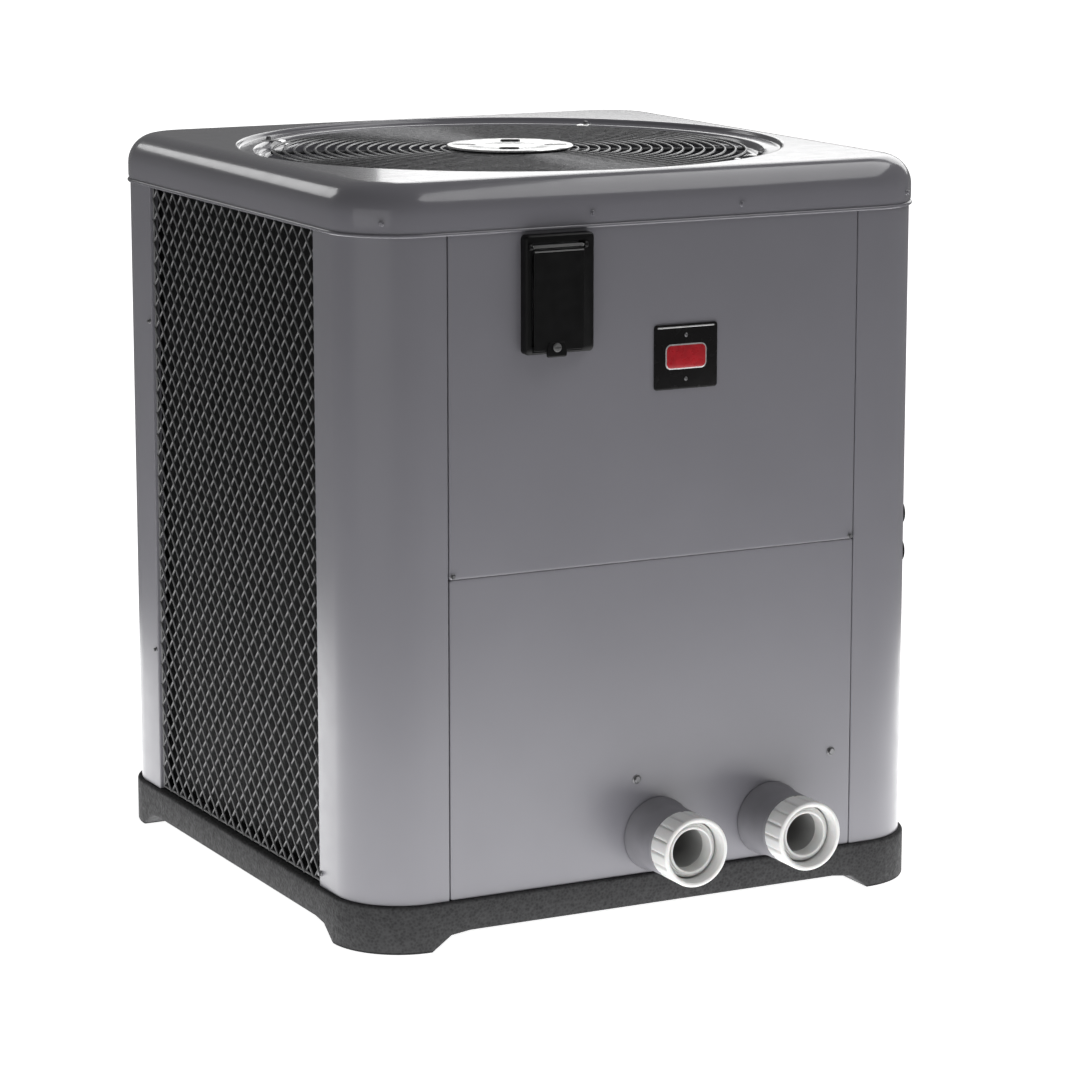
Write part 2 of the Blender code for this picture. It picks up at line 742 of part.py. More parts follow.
def make_union(side, x):
    """A pipe stub, its wall collar, a face seal and the turning nut. Depths run out from the panel."""
    axis = empty(f"{side}_axis", (x, -WALL, PIPE_Z))
    clear = PIPE_RADIUS + 0.0004
    mouth = FRONT_REACH - 0.012
    shoulder = FRONT_REACH - NUT_LENGTH + 0.0085
    shoulder_end = shoulder + 0.008
    stub = [(BORE_RADIUS, PIPE_TAIL), (PIPE_RADIUS, PIPE_TAIL), (PIPE_RADIUS, shoulder),
            (SHOULDER_RADIUS, shoulder), (SHOULDER_RADIUS, shoulder_end), (PIPE_RADIUS, shoulder_end),
            (PIPE_RADIUS, mouth - 0.0015),
            (PIPE_RADIUS - 0.0012, mouth), (BORE_RADIUS + 0.0012, mouth), (BORE_RADIUS, mouth - 0.0015)]
    from_bmesh(f"{side}_pipe", turned(stub, 24, "Y"), white_pvc(), axis, smooth=True)
    end = FRONT_REACH - NUT_LENGTH - 0.001
    collar = [(clear, 0.0005), (COLLAR_RADIUS, 0.0005), (COLLAR_RADIUS, 0.010),
              (COLLAR_RADIUS - 0.003, end - 0.003), (COLLAR_RADIUS - 0.005, end), (clear, end)]
    from_bmesh(f"{side}_collar", turned(collar, 24, "Y"), grey_plastic(), axis, smooth=True)
    back = FRONT_REACH - NUT_LENGTH
    nut = [(clear, back), (NUT_RADIUS - 0.0015, back), (NUT_RADIUS, back + 0.0015),
           (NUT_RADIUS, FRONT_REACH - 0.002), (NUT_RADIUS - 0.002, FRONT_REACH),
           (NUT_MOUTH + 0.0015, FRONT_REACH), (NUT_MOUTH, FRONT_REACH - 0.0015),
           (NUT_MOUTH, back + 0.008), (clear, back + 0.008)]
    from_bmesh(f"{side}_nut", turned(nut, 24, "Y"), white_pvc(), axis, smooth=True)
    seal = shoulder_end + GAP
    ring = [(clear, seal), (SEAL_RADIUS - 0.0008, seal), (SEAL_RADIUS, seal + SEAL_THICK / 2),
            (SEAL_RADIUS - 0.0008, seal + SEAL_THICK), (clear, seal + SEAL_THICK)]
    from_bmesh(f"{side}_o_ring", turned(ring, 20, "Y"), rubber(), axis, smooth=True)


def make_flow_switch():
    box("water_flow_switch", (INLET_X - 0.020, -0.290, PIPE_Z + PIPE_RADIUS + GAP),
        (INLET_X + 0.020, -0.240, 0.200), black_plastic(), 0.003)


def make_control_frame():
    low = (COVER_X[0], -WALL - FRAME_DEPTH, COVER_Z[0])
    high = (COVER_X[1], -WALL - GAP, COVER_Z[1])
    frame = box("control_frame", low, high, black_plastic())
    pocket = block((POCKET_X[0], low[1] - 0.01, POCKET_Z[0]), (POCKET_X[1], high[1] + 0.01, POCKET_Z[1]))
    cut(frame, pocket)
    for left, right in KNUCKLE_X:
        corner = (left, low[1] - 0.0048, HINGE_Z - KNUCKLE_HALF)
        knuckle = block(corner, (right, low[1] + 0.003, HINGE_Z + KNUCKLE_HALF))
        cut(frame, knuckle, "UNION")
    bore = HINGE_RADIUS + GAP
    reach = PIN_HALF + 0.0015
    hole = turned([(0, -reach), (bore, -reach), (bore, reach), (0, reach)], 12, "X")
    middle = (KNUCKLE_X[0][0] + KNUCKLE_X[1][1]) / 2
    bmesh.ops.translate(hole, vec=(middle, HINGE_Y, HINGE_Z), verts=hole.verts)
    cut(frame, hole)


def make_flap():
    """The flap hangs from a barrel on the hinge pin, and has a finger tab at its foot."""
    axis = empty("flap_axis", (0, HINGE_Y, HINGE_Z))
    bore = HINGE_RADIUS + GAP
    barrel_radius = 0.0031
    half = (FLAP_X[1] - FLAP_X[0]) / 2
    middle = (FLAP_X[1] + FLAP_X[0]) / 2
    front = FLAP_FRONT - HINGE_Y
    foot = FLAP_FOOT - HINGE_Z
    tab_low = TAB_FOOT - HINGE_Z
    top = -bore - 0.0006
    outline = [(-half, top), (-half, foot), (TAB_X[0] - middle, foot), (TAB_X[0] - middle, tab_low),
               (TAB_X[1] - middle, tab_low), (TAB_X[1] - middle, foot), (half, foot), (half, top)]
    shape = prism(outline, front, front + FLAP_THICK, "Y")
    bmesh.ops.translate(shape, vec=(middle, 0, 0), verts=shape.verts)
    flap = from_bmesh("control_flap", shape, black_plastic(), axis)
    barrel = turned([(bore, -half), (barrel_radius, -half), (barrel_radius, half), (bore, half)], 16, "X")
    bmesh.ops.translate(barrel, vec=(middle, HINGE_Y, HINGE_Z), verts=barrel.verts)
    cut(flap, barrel, "UNION")
    rod = [(0, -PIN_HALF), (HINGE_RADIUS, -PIN_HALF), (HINGE_RADIUS, PIN_HALF), (0, PIN_HALF)]
    from_bmesh("flap_hinge_pin", turned(rod, 12, "X"), steel(), at=(middle, HINGE_Y, HINGE_Z), smooth=True)
    knob = [(0, 0.0003), (0.0055, 0.0003), (0.0055, 0.0024), (0.0042, 0.0036), (0, 0.0036)]
    spot = (LATCH_X, front, LATCH_Z - HINGE_Z)
    from_bmesh("flap_latch", turned(knob, 16, "Y"), black_plastic(), axis, at=spot, smooth=True)


def make_control_panel():
    face = PANEL_FACE
    low = (POCKET_X[0] + 0.0005, face, POCKET_Z[0] + 0.0005)
    high = (POCKET_X[1] - 0.0005, -WALL - 0.0005, POCKET_Z[1] - 0.0005)
    panel = box("control_panel", low, high, grey_plastic())
    for name, (x, z) in BUTTONS.items():
        slot = (x - BUTTON_HALF[0] - 0.0004, z - BUTTON_HALF[1] - 0.0004)
        cut(panel, block((slot[0], face - 0.01, slot[1]),
                         (2 * x - slot[0], -WALL + 0.01, 2 * z - slot[1])))
        box(f"button_{name}", (-BUTTON_HALF[0], -BUTTON_PROUD, -BUTTON_HALF[1]),
            (BUTTON_HALF[0], 0.0015, BUTTON_HALF[1]), rubber(), 0.0008, at=(x, face, z))
    box("display_lens", (LENS_X[0], face - 0.0022, LENS_Z[0]), (LENS_X[1], face - GAP, LENS_Z[1]),
        black_plastic(), 0.0006)


def make_badge():
    outline = [(x + (BADGE_X[0] + BADGE_X[1]) / 2, z * BADGE_SHAPE + (BADGE_Z[0] + BADGE_Z[1]) / 2)
               for x, z in rounded_square((BADGE_X[1] - BADGE_X[0]) / 2, 0.004, 4)]
    from_bmesh("badge_plate", prism(outline, -WALL - 0.0018, -WALL - GAP, "Y"), black_plastic())


def make_electrics():
    """An open-fronted sheet box behind the upper panel, with its parts on its back wall."""
    wall = BOX_WALL
    low, high = BOX_LOW, BOX_HIGH
    shell = box("control_box", low, high, steel())
    inside = (low[0] + wall, low[1] - 0.01, low[2] + wall)
    cut(shell, block(inside, (high[0] - wall, high[1] - wall, high[2] - wall)))
    back = high[1] - wall - GAP
    parts = {
        "contactor": ((-0.235, 0.600), (0.070, 0.075), 0.050, grey_plastic),
        "transformer": ((-0.235, 0.720), (0.060, 0.060), 0.045, steel),
        "control_board": ((-0.120, 0.600), (0.210, 0.150), 0.012, circuit_green),
    }
    for name, ((x, z), (wide, tall), deep, material) in parts.items():
        box(name, (x, back - deep, z), (x + wide, back, z + tall), material(), 0.001)
    can = [(0, 0), (0.022, 0), (0.024, 0.002), (0.024, 0.090), (0.020, 0.094), (0, 0.094)]
    from_bmesh("run_capacitor", turned(can, 24), steel(), at=(0.190, back - 0.026, 0.600), smooth=True)


def circuit_green():
    return finish("circuit_green", (0.01, 0.12, 0.04), 0.5)


def make_refrigerant_parts():
    valve = [(0, -0.070), (0.016, -0.070), (0.020, -0.062), (0.020, 0.062), (0.016, 0.070), (0, 0.070)]
    from_bmesh("reversing_valve", turned(valve, 20, "X"), copper(), at=VALVE_SPOT, smooth=True)
    tank = [(0, 0), (0.042, 0), (0.050, 0.010), (0.050, TANK_HEIGHT - 0.015), (0.040, TANK_HEIGHT - 0.002),
            (0, TANK_HEIGHT)]
    from_bmesh("suction_accumulator", turned(tank, 24), black_plastic(), at=TANK_SPOT, smooth=True)
    top = DRIER_HEIGHT
    drier = [(0, 0), (0.012, 0), (0.030, 0.020), (0.030, top - 0.020), (0.012, top), (0, top)]
    from_bmesh("filter_drier", turned(drier, 20), steel(), at=DRIER_SPOT, smooth=True)

    x, y = COMPRESSOR_SPOT
    valve_x, valve_y, valve_z = VALVE_SPOT
    start = COMPRESSOR_Z[1] + 0.0005
    pipe("discharge_line", [(x, y, start), (x, y, valve_z), (x, valve_y, valve_z),
                            (valve_x - 0.0703, valve_y, valve_z)], LINE_RADIUS, copper())
    x, y, z = TANK_SPOT
    level = 0.470
    way = -0.068
    port = -0.050
    pipe("suction_line", [(x, y, z + TANK_HEIGHT + GAP), (x, y, level), (way, y, level), (way, 0.140, level),
                          (port, valve_y, level), (port, valve_y, valve_z - 0.0203)],
         SUCTION_RADIUS, copper())
    x, y, z = DRIER_SPOT
    level = 0.420
    header_x, header_y, _ = HEADER_SPOT
    pipe("liquid_line", [(x, y, z + DRIER_HEIGHT + 0.0004), (x, y, level), (x, header_y, level),
                         (header_x - HEADER_RADIUS - 0.0004, header_y, level)], LINE_RADIUS, copper())


def make_screw(name, x, z):
    head = [(0, GAP), (0.0048, GAP), (0.0048, 0.0012), (0.0030, 0.0026), (0, 0.0028)]
    from_bmesh(name, turned(head, 12, "Y"), steel(), at=(x, -WALL, z), smooth=True)


clear_scene()
make_base_pan()
make_corner_posts()
make_front_panels()
make_entry_grommets()
make_top_cover()
make_fan_guard()
make_motor()
make_fan(empty("fan_axis", (0, 0, FAN_Z)))
make_shroud()
make_coil_guards()
make_coil()
make_compressor()
make_heat_exchanger()
make_union("inlet", INLET_X)
make_union("outlet", OUTLET_X)
make_flow_switch()
make_control_frame()
make_flap()
make_control_panel()
make_badge()
make_electrics()
make_refrigerant_parts()
for screw, spot in SCREWS.items():
    make_screw(screw, *spot)
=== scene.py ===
"""The looks of a pool and spa heat pump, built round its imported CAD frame."""

import math

import bmesh
import bpy
from mathutils import Matrix, Vector


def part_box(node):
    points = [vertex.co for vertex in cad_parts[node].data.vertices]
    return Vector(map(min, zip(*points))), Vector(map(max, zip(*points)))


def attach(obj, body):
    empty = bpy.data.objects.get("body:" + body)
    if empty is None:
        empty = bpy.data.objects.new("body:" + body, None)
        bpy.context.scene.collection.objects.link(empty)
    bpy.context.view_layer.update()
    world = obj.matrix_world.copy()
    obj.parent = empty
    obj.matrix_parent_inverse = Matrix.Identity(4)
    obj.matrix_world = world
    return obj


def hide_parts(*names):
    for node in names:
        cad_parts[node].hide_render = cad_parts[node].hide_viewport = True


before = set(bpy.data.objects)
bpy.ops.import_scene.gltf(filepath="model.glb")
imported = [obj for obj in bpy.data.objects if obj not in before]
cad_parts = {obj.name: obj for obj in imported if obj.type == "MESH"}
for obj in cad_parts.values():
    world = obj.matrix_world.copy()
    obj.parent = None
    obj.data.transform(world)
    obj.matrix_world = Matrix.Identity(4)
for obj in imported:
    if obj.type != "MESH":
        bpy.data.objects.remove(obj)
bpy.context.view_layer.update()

# Sizes read from the frame, in metres
_, BASE_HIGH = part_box("base_pan")
COVER_LOW, COVER_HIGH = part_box("top_cover")
UPPER_LOW, UPPER_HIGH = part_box("front_panel_upper")
LOWER_LOW, LOWER_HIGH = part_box("front_panel_lower")
GUARD_LOW, GUARD_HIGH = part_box("coil_guard_right")
COIL_LOW, COIL_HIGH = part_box("evaporator_coil")
_, FAN_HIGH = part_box("fan_guard")
PLATE_LOW, PLATE_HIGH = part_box("motor_mount_plate")
BLADES_LOW, BLADES_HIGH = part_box("fan_blades")
SHROUD_LOW, SHROUD_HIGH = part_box("fan_shroud_ring")
FRAME_LOW, FRAME_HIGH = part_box("control_frame")
FLAP_LOW, FLAP_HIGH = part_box("control_flap")
PIN_LOW, PIN_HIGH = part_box("flap_hinge_pin")
LATCH_LOW, LATCH_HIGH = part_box("flap_latch")
BADGE_LOW, BADGE_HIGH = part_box("badge_plate")

HALF = BASE_HIGH[0]
COVER_HALF = COVER_HIGH[0]
BASE_TOP = BASE_HIGH[2]
HEIGHT = COVER_HIGH[2]
WALL = -UPPER_LOW[1]
POST_TOP = UPPER_HIGH[2]
POST_BOTTOM = LOWER_LOW[2]
BASE_RADIUS = 0.092
WALL_RADIUS = BASE_RADIUS - (HALF - WALL)
COVER_RADIUS = BASE_RADIUS - (HALF - COVER_HALF)
SHEET = 0.0012
SEAM_X = UPPER_HIGH[0]
MESH_HALF = GUARD_HIGH[1]
HINGE_Y = (PIN_LOW[1] + PIN_HIGH[1]) / 2
HINGE_Z = (PIN_LOW[2] + PIN_HIGH[2]) / 2
LATCH_X = (LATCH_LOW[0] + LATCH_HIGH[0]) / 2
LATCH_Z = (LATCH_LOW[2] + LATCH_HIGH[2]) / 2
PLATE_TURN = math.radians(-27.6)

# The cover's lip as (radius, drop below the top): a rolled rim, a shelf, a second step and the throat
LIP = [(0.3530, 0.0), (0.3522, 0.0001), (0.3512, 0.0006), (0.3504, 0.0014), (0.3499, 0.0025),
       (0.3494, 0.0042), (0.3484, 0.0054), (0.3468, 0.0060), (0.3440, 0.0062), (0.3360, 0.0064),
       (0.3310, 0.0066), (0.3292, 0.0070), (0.3278, 0.0079), (0.3268, 0.0094), (0.3258, 0.0120),
       (0.3246, 0.0140), (0.3228, 0.0152), (0.3180, 0.0160), (0.3150, 0.0165), (0.3134, 0.0176),
       (0.3124, 0.0194), (0.3120, 0.0220), (0.3120, 0.0485)]

# Camera, and the brightness of the floor and of each light's face
CAMERA_SPOT = (-2.3246, -4.5859, 1.4399)
CAMERA_LENS = 133.02
CAMERA_YAW = 27.315
CAMERA_PITCH = -11.318
FLOOR_GLOW = 0.92
AMBIENT = 0.17
FLOOR_BOUNCE = 1.12
BACK_STRIP = 1.7
RIGHT_HIGH = 2.2
LEFT_BACK = 2.1
LEFT_FILL = 0.5


# ---------------------------------------------------------------- materials

class Paint:
    """A node material, with short ways to add the nodes that every finish here uses."""

    def __init__(self, name, colour, roughness, metallic=0.0):
        self.material = bpy.data.materials.new(name)
        self.material.use_nodes = True
        self.tree = self.material.node_tree
        self.shader = self.tree.nodes["Principled BSDF"]
        self.colour = colour
        self.shader.inputs["Base Color"].default_value = (*colour, 1.0)
        self.shader.inputs["Roughness"].default_value = roughness
        self.shader.inputs["Metallic"].default_value = metallic
        self.place = self.tree.nodes.new("ShaderNodeTexCoord").outputs["Object"]
        self.height = None

    def link(self, source, target):
        self.tree.links.new(source, target)

    def fix(self, socket, value):
        self.shader.inputs[socket].default_value = value
        return self

    def stretched(self, scale):
        mapping = self.tree.nodes.new("ShaderNodeMapping")
        mapping.inputs["Scale"].default_value = scale
        self.link(self.place, mapping.inputs["Vector"])
        return mapping.outputs["Vector"]

    def noise(self, scale, detail=3.0, rough=0.5, stretch=None):
        node = self.tree.nodes.new("ShaderNodeTexNoise")
        node.inputs["Scale"].default_value = scale
        node.inputs["Detail"].default_value = detail
        node.inputs["Roughness"].default_value = rough
        self.link(self.stretched(stretch) if stretch else self.place, node.inputs["Vector"])
        return node.outputs["Fac"]

    def cells(self, scale, output="Distance"):
        node = self.tree.nodes.new("ShaderNodeTexVoronoi")
        node.inputs["Scale"].default_value = scale
        self.link(self.place, node.inputs["Vector"])
        return node.outputs[output]

    def band(self, value, low, high, start=0.0, end=1.0):
        node = self.tree.nodes.new("ShaderNodeMapRange")
        for socket, number in (("From Min", start), ("From Max", end), ("To Min", low), ("To Max", high)):
            node.inputs[socket].default_value = number
        self.link(value, node.inputs["Value"])
        return node.outputs["Result"]

    def tint(self, value, dark, light, start=0.3, end=0.7):
        """Colours the surface from a darker to a lighter share of its own colour."""
        node = self.tree.nodes.new("ShaderNodeMix")
        node.data_type = "RGBA"
        node.inputs[6].default_value = (*[c * dark for c in self.colour], 1.0)
        node.inputs[7].default_value = (*[min(c * light, 1.0) for c in self.colour], 1.0)
        self.link(self.band(value, 0.0, 1.0, start, end), node.inputs[0])
        self.link(node.outputs[2], self.shader.inputs["Base Color"])
        return self

    def sheen_range(self, value, low, high):
        self.link(self.band(value, low, high, 0.3, 0.7), self.shader.inputs["Roughness"])
        return self

    def bump(self, value, distance, strength=1.0):
        node = self.tree.nodes.new("ShaderNodeBump")
        node.inputs["Distance"].default_value = distance
        node.inputs["Strength"].default_value = strength
        self.link(value, node.inputs["Height"])
        if self.height is not None:
            self.link(self.height, node.inputs["Normal"])
        self.height = node.outputs["Normal"]
        self.link(self.height, self.shader.inputs["Normal"])
        return self

    def dress(self, tint, sheen, bump):
        """Adds mottling, an uneven sheen and a fine relief, each from a noise of its own.

        tint is (scale, detail, dark, light), sheen is (scale, detail, low, high), and bump is
        (scale, detail, distance, strength).
        """
        self.tint(self.noise(*tint[:2]), *tint[2:])
        self.sheen_range(self.noise(*sheen[:2]), *sheen[2:])
        self.bump(self.noise(*bump[:2]), *bump[2:])
        return self.material


def cabinet_paint(name, roughness, coat_roughness, peel):
    """Satin powder coat with a fine orange-peel surface, finer on the pressed cover."""
    paint = Paint(name, (0.200, 0.196, 0.219), roughness[0], 0.0)
    paint.fix("Coat Weight", 0.5).fix("Coat Roughness", coat_roughness)
    return paint.dress((6.0, 2.0, 0.97, 1.03), (45.0, 4.0, *roughness), (900.0, 2.0, 0.00004, peel))


def base_plastic():
    """Pebbled dark composite."""
    paint = Paint("base_composite", (0.024, 0.024, 0.025), 0.75)
    paint.fix("Specular IOR Level", 0.3)
    paint.tint(paint.cells(260.0), 0.65, 1.45, 0.1, 0.7)
    paint.sheen_range(paint.noise(120.0, 3.0), 0.62, 0.85)
    paint.bump(paint.cells(260.0), 0.0008, 0.7)
    paint.bump(paint.noise(700.0, 4.0), 0.0004, 0.5)
    return paint.material


def black_plastic(name="black_moulding", colour=(0.0040, 0.0040, 0.0042), roughness=(0.32, 0.45)):
    paint = Paint(name, colour, roughness[0])
    paint.fix("Specular IOR Level", 0.22)
    paint.tint(paint.noise(30.0, 3.0), 0.85, 1.2)
    paint.sheen_range(paint.noise(80.0, 3.0), *roughness)
    paint.bump(paint.cells(1500.0), 0.00008, 0.5)
    return paint.material


def moulded_grey(name, colour, roughness=(0.45, 0.6)):
    paint = Paint(name, colour, roughness[0])
    return paint.dress((25.0, 3.0, 0.93, 1.06), (70.0, 3.0, *roughness), (1100.0, 2.0, 0.00006, 0.5))


def white_pvc():
    paint = Paint("white_pvc", (0.70, 0.70, 0.69), 0.4)
    paint.fix("Subsurface Weight", 0.08).fix("Subsurface Scale", 0.003)
    return paint.dress((35.0, 4.0, 0.95, 1.03), (60.0, 3.0, 0.32, 0.46), (500.0, 2.0, 0.00008, 0.4))


def coated_wire():
    paint = Paint("coated_wire", (0.17, 0.17, 0.173), 0.42, 0.1)
    return paint.dress((80.0, 3.0, 0.85, 1.15), (150.0, 3.0, 0.35, 0.5), (1400.0, 2.0, 0.00005, 0.5))


def guard_rings():
    paint = Paint("guard_ring_wire", (0.13, 0.13, 0.135), 0.3, 0.35)
    return paint.dress((60.0, 3.0, 0.88, 1.12), (110.0, 3.0, 0.22, 0.36), (1400.0, 2.0, 0.00004, 0.4))


def dark_fins():
    paint = Paint("coil_fins", (0.035, 0.035, 0.036), 0.5, 0.5)
    paint.tint(paint.noise(40.0, 4.0, stretch=(1.0, 1.0, 0.1)), 0.7, 1.35)
    paint.sheen_range(paint.noise(90.0, 3.0), 0.4, 0.6)
    paint.bump(paint.noise(600.0, 2.0), 0.0001, 0.4)
    return paint.material


def zinc(name="zinc_sheet", colour=(0.45, 0.455, 0.46)):
    """Zinc coat with faint crystal spangle."""
    paint = Paint(name, colour, 0.4, 0.9)
    paint.tint(paint.cells(90.0), 0.85, 1.1, 0.1, 0.6)
    paint.sheen_range(paint.noise(70.0, 3.0), 0.3, 0.5)
    paint.bump(paint.noise(900.0, 3.0), 0.00005, 0.4)
    return paint.material


def bright_plate():
    paint = Paint("bright_plate", (0.82, 0.82, 0.82), 0.22, 0.85)
    paint.tint(paint.noise(50.0, 4.0), 0.93, 1.04)
    paint.sheen_range(paint.noise(300.0, 3.0, stretch=(1.0, 0.08, 1.0)), 0.16, 0.3)
    paint.bump(paint.noise(900.0, 2.0), 0.00003, 0.4)
    return paint.material


def copper():
    paint = Paint("copper_tube", (0.62, 0.29, 0.17), 0.35, 1.0)
    return paint.dress((30.0, 5.0, 0.6, 1.1), (60.0, 4.0, 0.25, 0.5), (700.0, 2.0, 0.00005, 0.4))


def rubber():
    paint = Paint("black_rubber", (0.010, 0.010, 0.010), 0.8)
    return paint.dress((60.0, 3.0, 0.8, 1.3), (90.0, 3.0, 0.65, 0.85), (900.0, 3.0, 0.0001, 0.5))


def enamel():
    paint = Paint("black_enamel", (0.012, 0.012, 0.013), 0.3)
    return paint.dress((25.0, 3.0, 0.85, 1.2), (40.0, 3.0, 0.25, 0.4), (350.0, 2.0, 0.0001, 0.4))


def circuit_green():
    paint = Paint("circuit_board", (0.01, 0.10, 0.035), 0.4)
    paint.tint(paint.cells(220.0), 0.6, 1.4, 0.2, 0.6)
    paint.sheen_range(paint.noise(90.0, 3.0), 0.3, 0.5)
    paint.bump(paint.cells(220.0), 0.0002, 0.5)
    return paint.material


def display_window():
    paint = Paint("display_window", (0.015, 0.022, 0.02), 0.08)
    return paint.dress((40.0, 3.0, 0.9, 1.15), (60.0, 2.0, 0.05, 0.12), (300.0, 1.0, 0.00002, 0.3))


def enamel_red():
    paint = Paint("emblem_red", (0.42, 0.012, 0.02), 0.3)
    return paint.dress((120.0, 3.0, 0.85, 1.12), (90.0, 3.0, 0.22, 0.36), (900.0, 2.0, 0.00004, 0.4))


def enamel_pale():
    paint = Paint("emblem_pale", (0.6, 0.6, 0.6), 0.35, 0.4)
    return paint.dress((120.0, 3.0, 0.9, 1.1), (90.0, 3.0, 0.28, 0.4), (900.0, 2.0, 0.00004, 0.4))


PAINT = cabinet_paint("cabinet_paint", (0.30, 0.38), 0.30, 0.5)
COVER_PAINT = cabinet_paint("cover_paint", (0.16, 0.24), 0.08, 0.15)
BASE = base_plastic()
BLACK = black_plastic()
BADGE_BLACK = black_plastic("badge_black", (0.009, 0.0085, 0.0088), (0.2, 0.3))
FAN_BLACK = black_plastic("fan_moulding", (0.018, 0.018, 0.019), (0.4, 0.55))
GREY = moulded_grey("grey_moulding", (0.13, 0.13, 0.14))
COLLAR = moulded_grey("collar_grey", (0.185, 0.182, 0.198), (0.4, 0.5))
# A darker grey that paints the shade deep inside the pipes' bores
BORE_SHADE_GREY = moulded_grey("bore_painted_shade", (0.34, 0.34, 0.335), (0.5, 0.65))
LATCH = moulded_grey("latch_grey", (0.12, 0.12, 0.12))
HINGE_GREY = zinc("hinge_pin_steel", (0.25, 0.25, 0.25))
PVC = white_pvc()
WIRE = coated_wire()
RINGS = guard_rings()
FINS = dark_fins()
ZINC = zinc()
SCREW = zinc("screw_steel", (0.20, 0.20, 0.205))
BRIGHT = bright_plate()
COPPER = copper()
RUBBER = rubber()
ENAMEL = enamel()
BOARD = circuit_green()
WINDOW = display_window()
RED = enamel_red()
PALE = enamel_pale()


# ---------------------------------------------------------------- mesh tools

def piece(name, shape, material, body, replaced=(), sharp=30):
    """Turns a bmesh into a finished piece that rides on a body."""
    bmesh.ops.recalc_face_normals(shape, faces=shape.faces)
    mesh = bpy.data.meshes.new(name)
    shape.to_mesh(mesh)
    shape.free()
    mesh.shade_smooth()
    mesh.set_sharp_from_angle(angle=math.radians(sharp))
    mesh.materials.append(material)
    thing = bpy.data.objects.new(name, mesh)
    bpy.context.scene.collection.objects.link(thing)
    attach(thing, body)
    if replaced:
        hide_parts(*replaced)
    return thing


def soften(thing, width, segments=3):
    rounding = thing.modifiers.new("edges", "BEVEL")
    rounding.width = width
    rounding.segments = segments
    rounding.limit_method = "ANGLE"
    rounding.angle_limit = math.radians(40)
    rounding.harden_normals = False


def carve(thing, shape, operation="DIFFERENCE"):
    """Cuts a bmesh out of a piece, or joins it on, and applies it."""
    bmesh.ops.recalc_face_normals(shape, faces=shape.faces)
    mesh = bpy.data.meshes.new("cutter")
    shape.to_mesh(mesh)
    shape.free()
    tool = bpy.data.objects.new("cutter", mesh)
    bpy.context.scene.collection.objects.link(tool)
    change = thing.modifiers.new("carve", "BOOLEAN")
    change.operation = operation
    change.object = tool
    apply_modifiers(thing)
    bpy.data.objects.remove(tool)


def apply_modifiers(thing):
    graph = bpy.context.evaluated_depsgraph_get()
    mesh = bpy.data.meshes.new_from_object(thing.evaluated_get(graph))
    thing.modifiers.clear()
    thing.data = mesh


def arc(centre, radius, start, end, steps):
    points = []
    for i in range(steps + 1):
        angle = math.radians(start + (end - start) * i / steps)
        points.append((centre[0] + radius * math.cos(angle), centre[1] + radius * math.sin(angle)))
    return points


def prism(points, low, high, axis="Z"):
    """A straight extrusion of an outline along Z or Y."""

    def place(a, b, c):
        return (a, b, c) if axis == "Z" else (a, c, b)

    shape = bmesh.new()
    bottom = [shape.verts.new(place(a, b, low)) for a, b in points]
    top = [shape.verts.new(place(a, b, high)) for a, b in points]
    shape.faces.new(bottom)
    shape.faces.new(top)
    for i, corner in enumerate(bottom):
        j = (i + 1) % len(points)
        shape.faces.new((corner, bottom[j], top[j], top[i]))
    return shape


def block(low, high):
    corners = [(low[0], low[1]), (high[0], low[1]), (high[0], high[1]), (low[0], high[1])]
    return prism(corners, low[2], high[2])


def middle_of(node):
    low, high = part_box(node)
    return Vector([(a + b) / 2 for a, b in zip(low, high)])


def rounded_rectangle(half_x, half_z, radius, steps, middle=(0.0, 0.0)):
    points = []
    for turn, (sx, sz) in enumerate(((1, 1), (-1, 1), (-1, -1), (1, -1))):
        centre = (middle[0] + sx * (half_x - radius), middle[1] + sz * (half_z - radius))
        points += arc(centre, radius, 90 * turn, 90 * turn + 90, steps)
    return points


def skin(rings, closed=False, caps=True):
    """A surface through rings of equal length. Closed joins the last ring to the first."""
    shape = bmesh.new()
    loops = [[shape.verts.new(point) for point in ring] for ring in rings]
    pairs = list(zip(loops, loops[1:]))
    if closed:
        pairs.append((loops[-1], loops[0]))
    count = len(loops[0])
    for lower, upper in pairs:
        for i in range(count):
            j = (i + 1) % count
            shape.faces.new((lower[i], lower[j], upper[j], upper[i]))
    if caps and not closed:
        shape.faces.new(loops[0][::-1])
        shape.faces.new(loops[-1])
    return shape


def turned(profile, segments, centre=(0, 0, 0), axis="Z", wave=None):
    """A (radius, height) profile turned round an axis; a profile that starts off the axis is a ring.

    wave(angle, radius, height) may change a point's radius, for ribs and flutes.
    """
    rings = []
    for radius, height in profile:
        ring = []
        for i in range(segments):
            angle = 2 * math.pi * i / segments
            reach = wave(angle, radius, height) if wave else radius
            ring.append((reach * math.cos(angle), reach * math.sin(angle), height))
        rings.append(ring)
    solid = profile[0][0] < 0.00001
    shape = skin(rings, closed=not solid, caps=False)
    bmesh.ops.remove_doubles(shape, verts=shape.verts, dist=0.000004)
    turn = {"Z": Matrix(), "Y": Matrix.Rotation(math.radians(90), 4, "X"),
            "X": Matrix.Rotation(math.radians(90), 4, "Y")}[axis]
    bmesh.ops.transform(shape, matrix=Matrix.Translation(centre) @ turn, verts=shape.verts)
    return shape


def add_rod(shape, start, end, radius, sides=8):
    """Adds a round bar between two points."""
    start, end = Vector(start), Vector(end)
    along = end - start
    spin = along.to_track_quat("Z", "Y").to_matrix().to_4x4()
    place = Matrix.Translation((start + end) / 2) @ spin
    bmesh.ops.create_cone(shape, cap_ends=True, segments=sides, radius1=radius, radius2=radius,
                          depth=along.length, matrix=place)


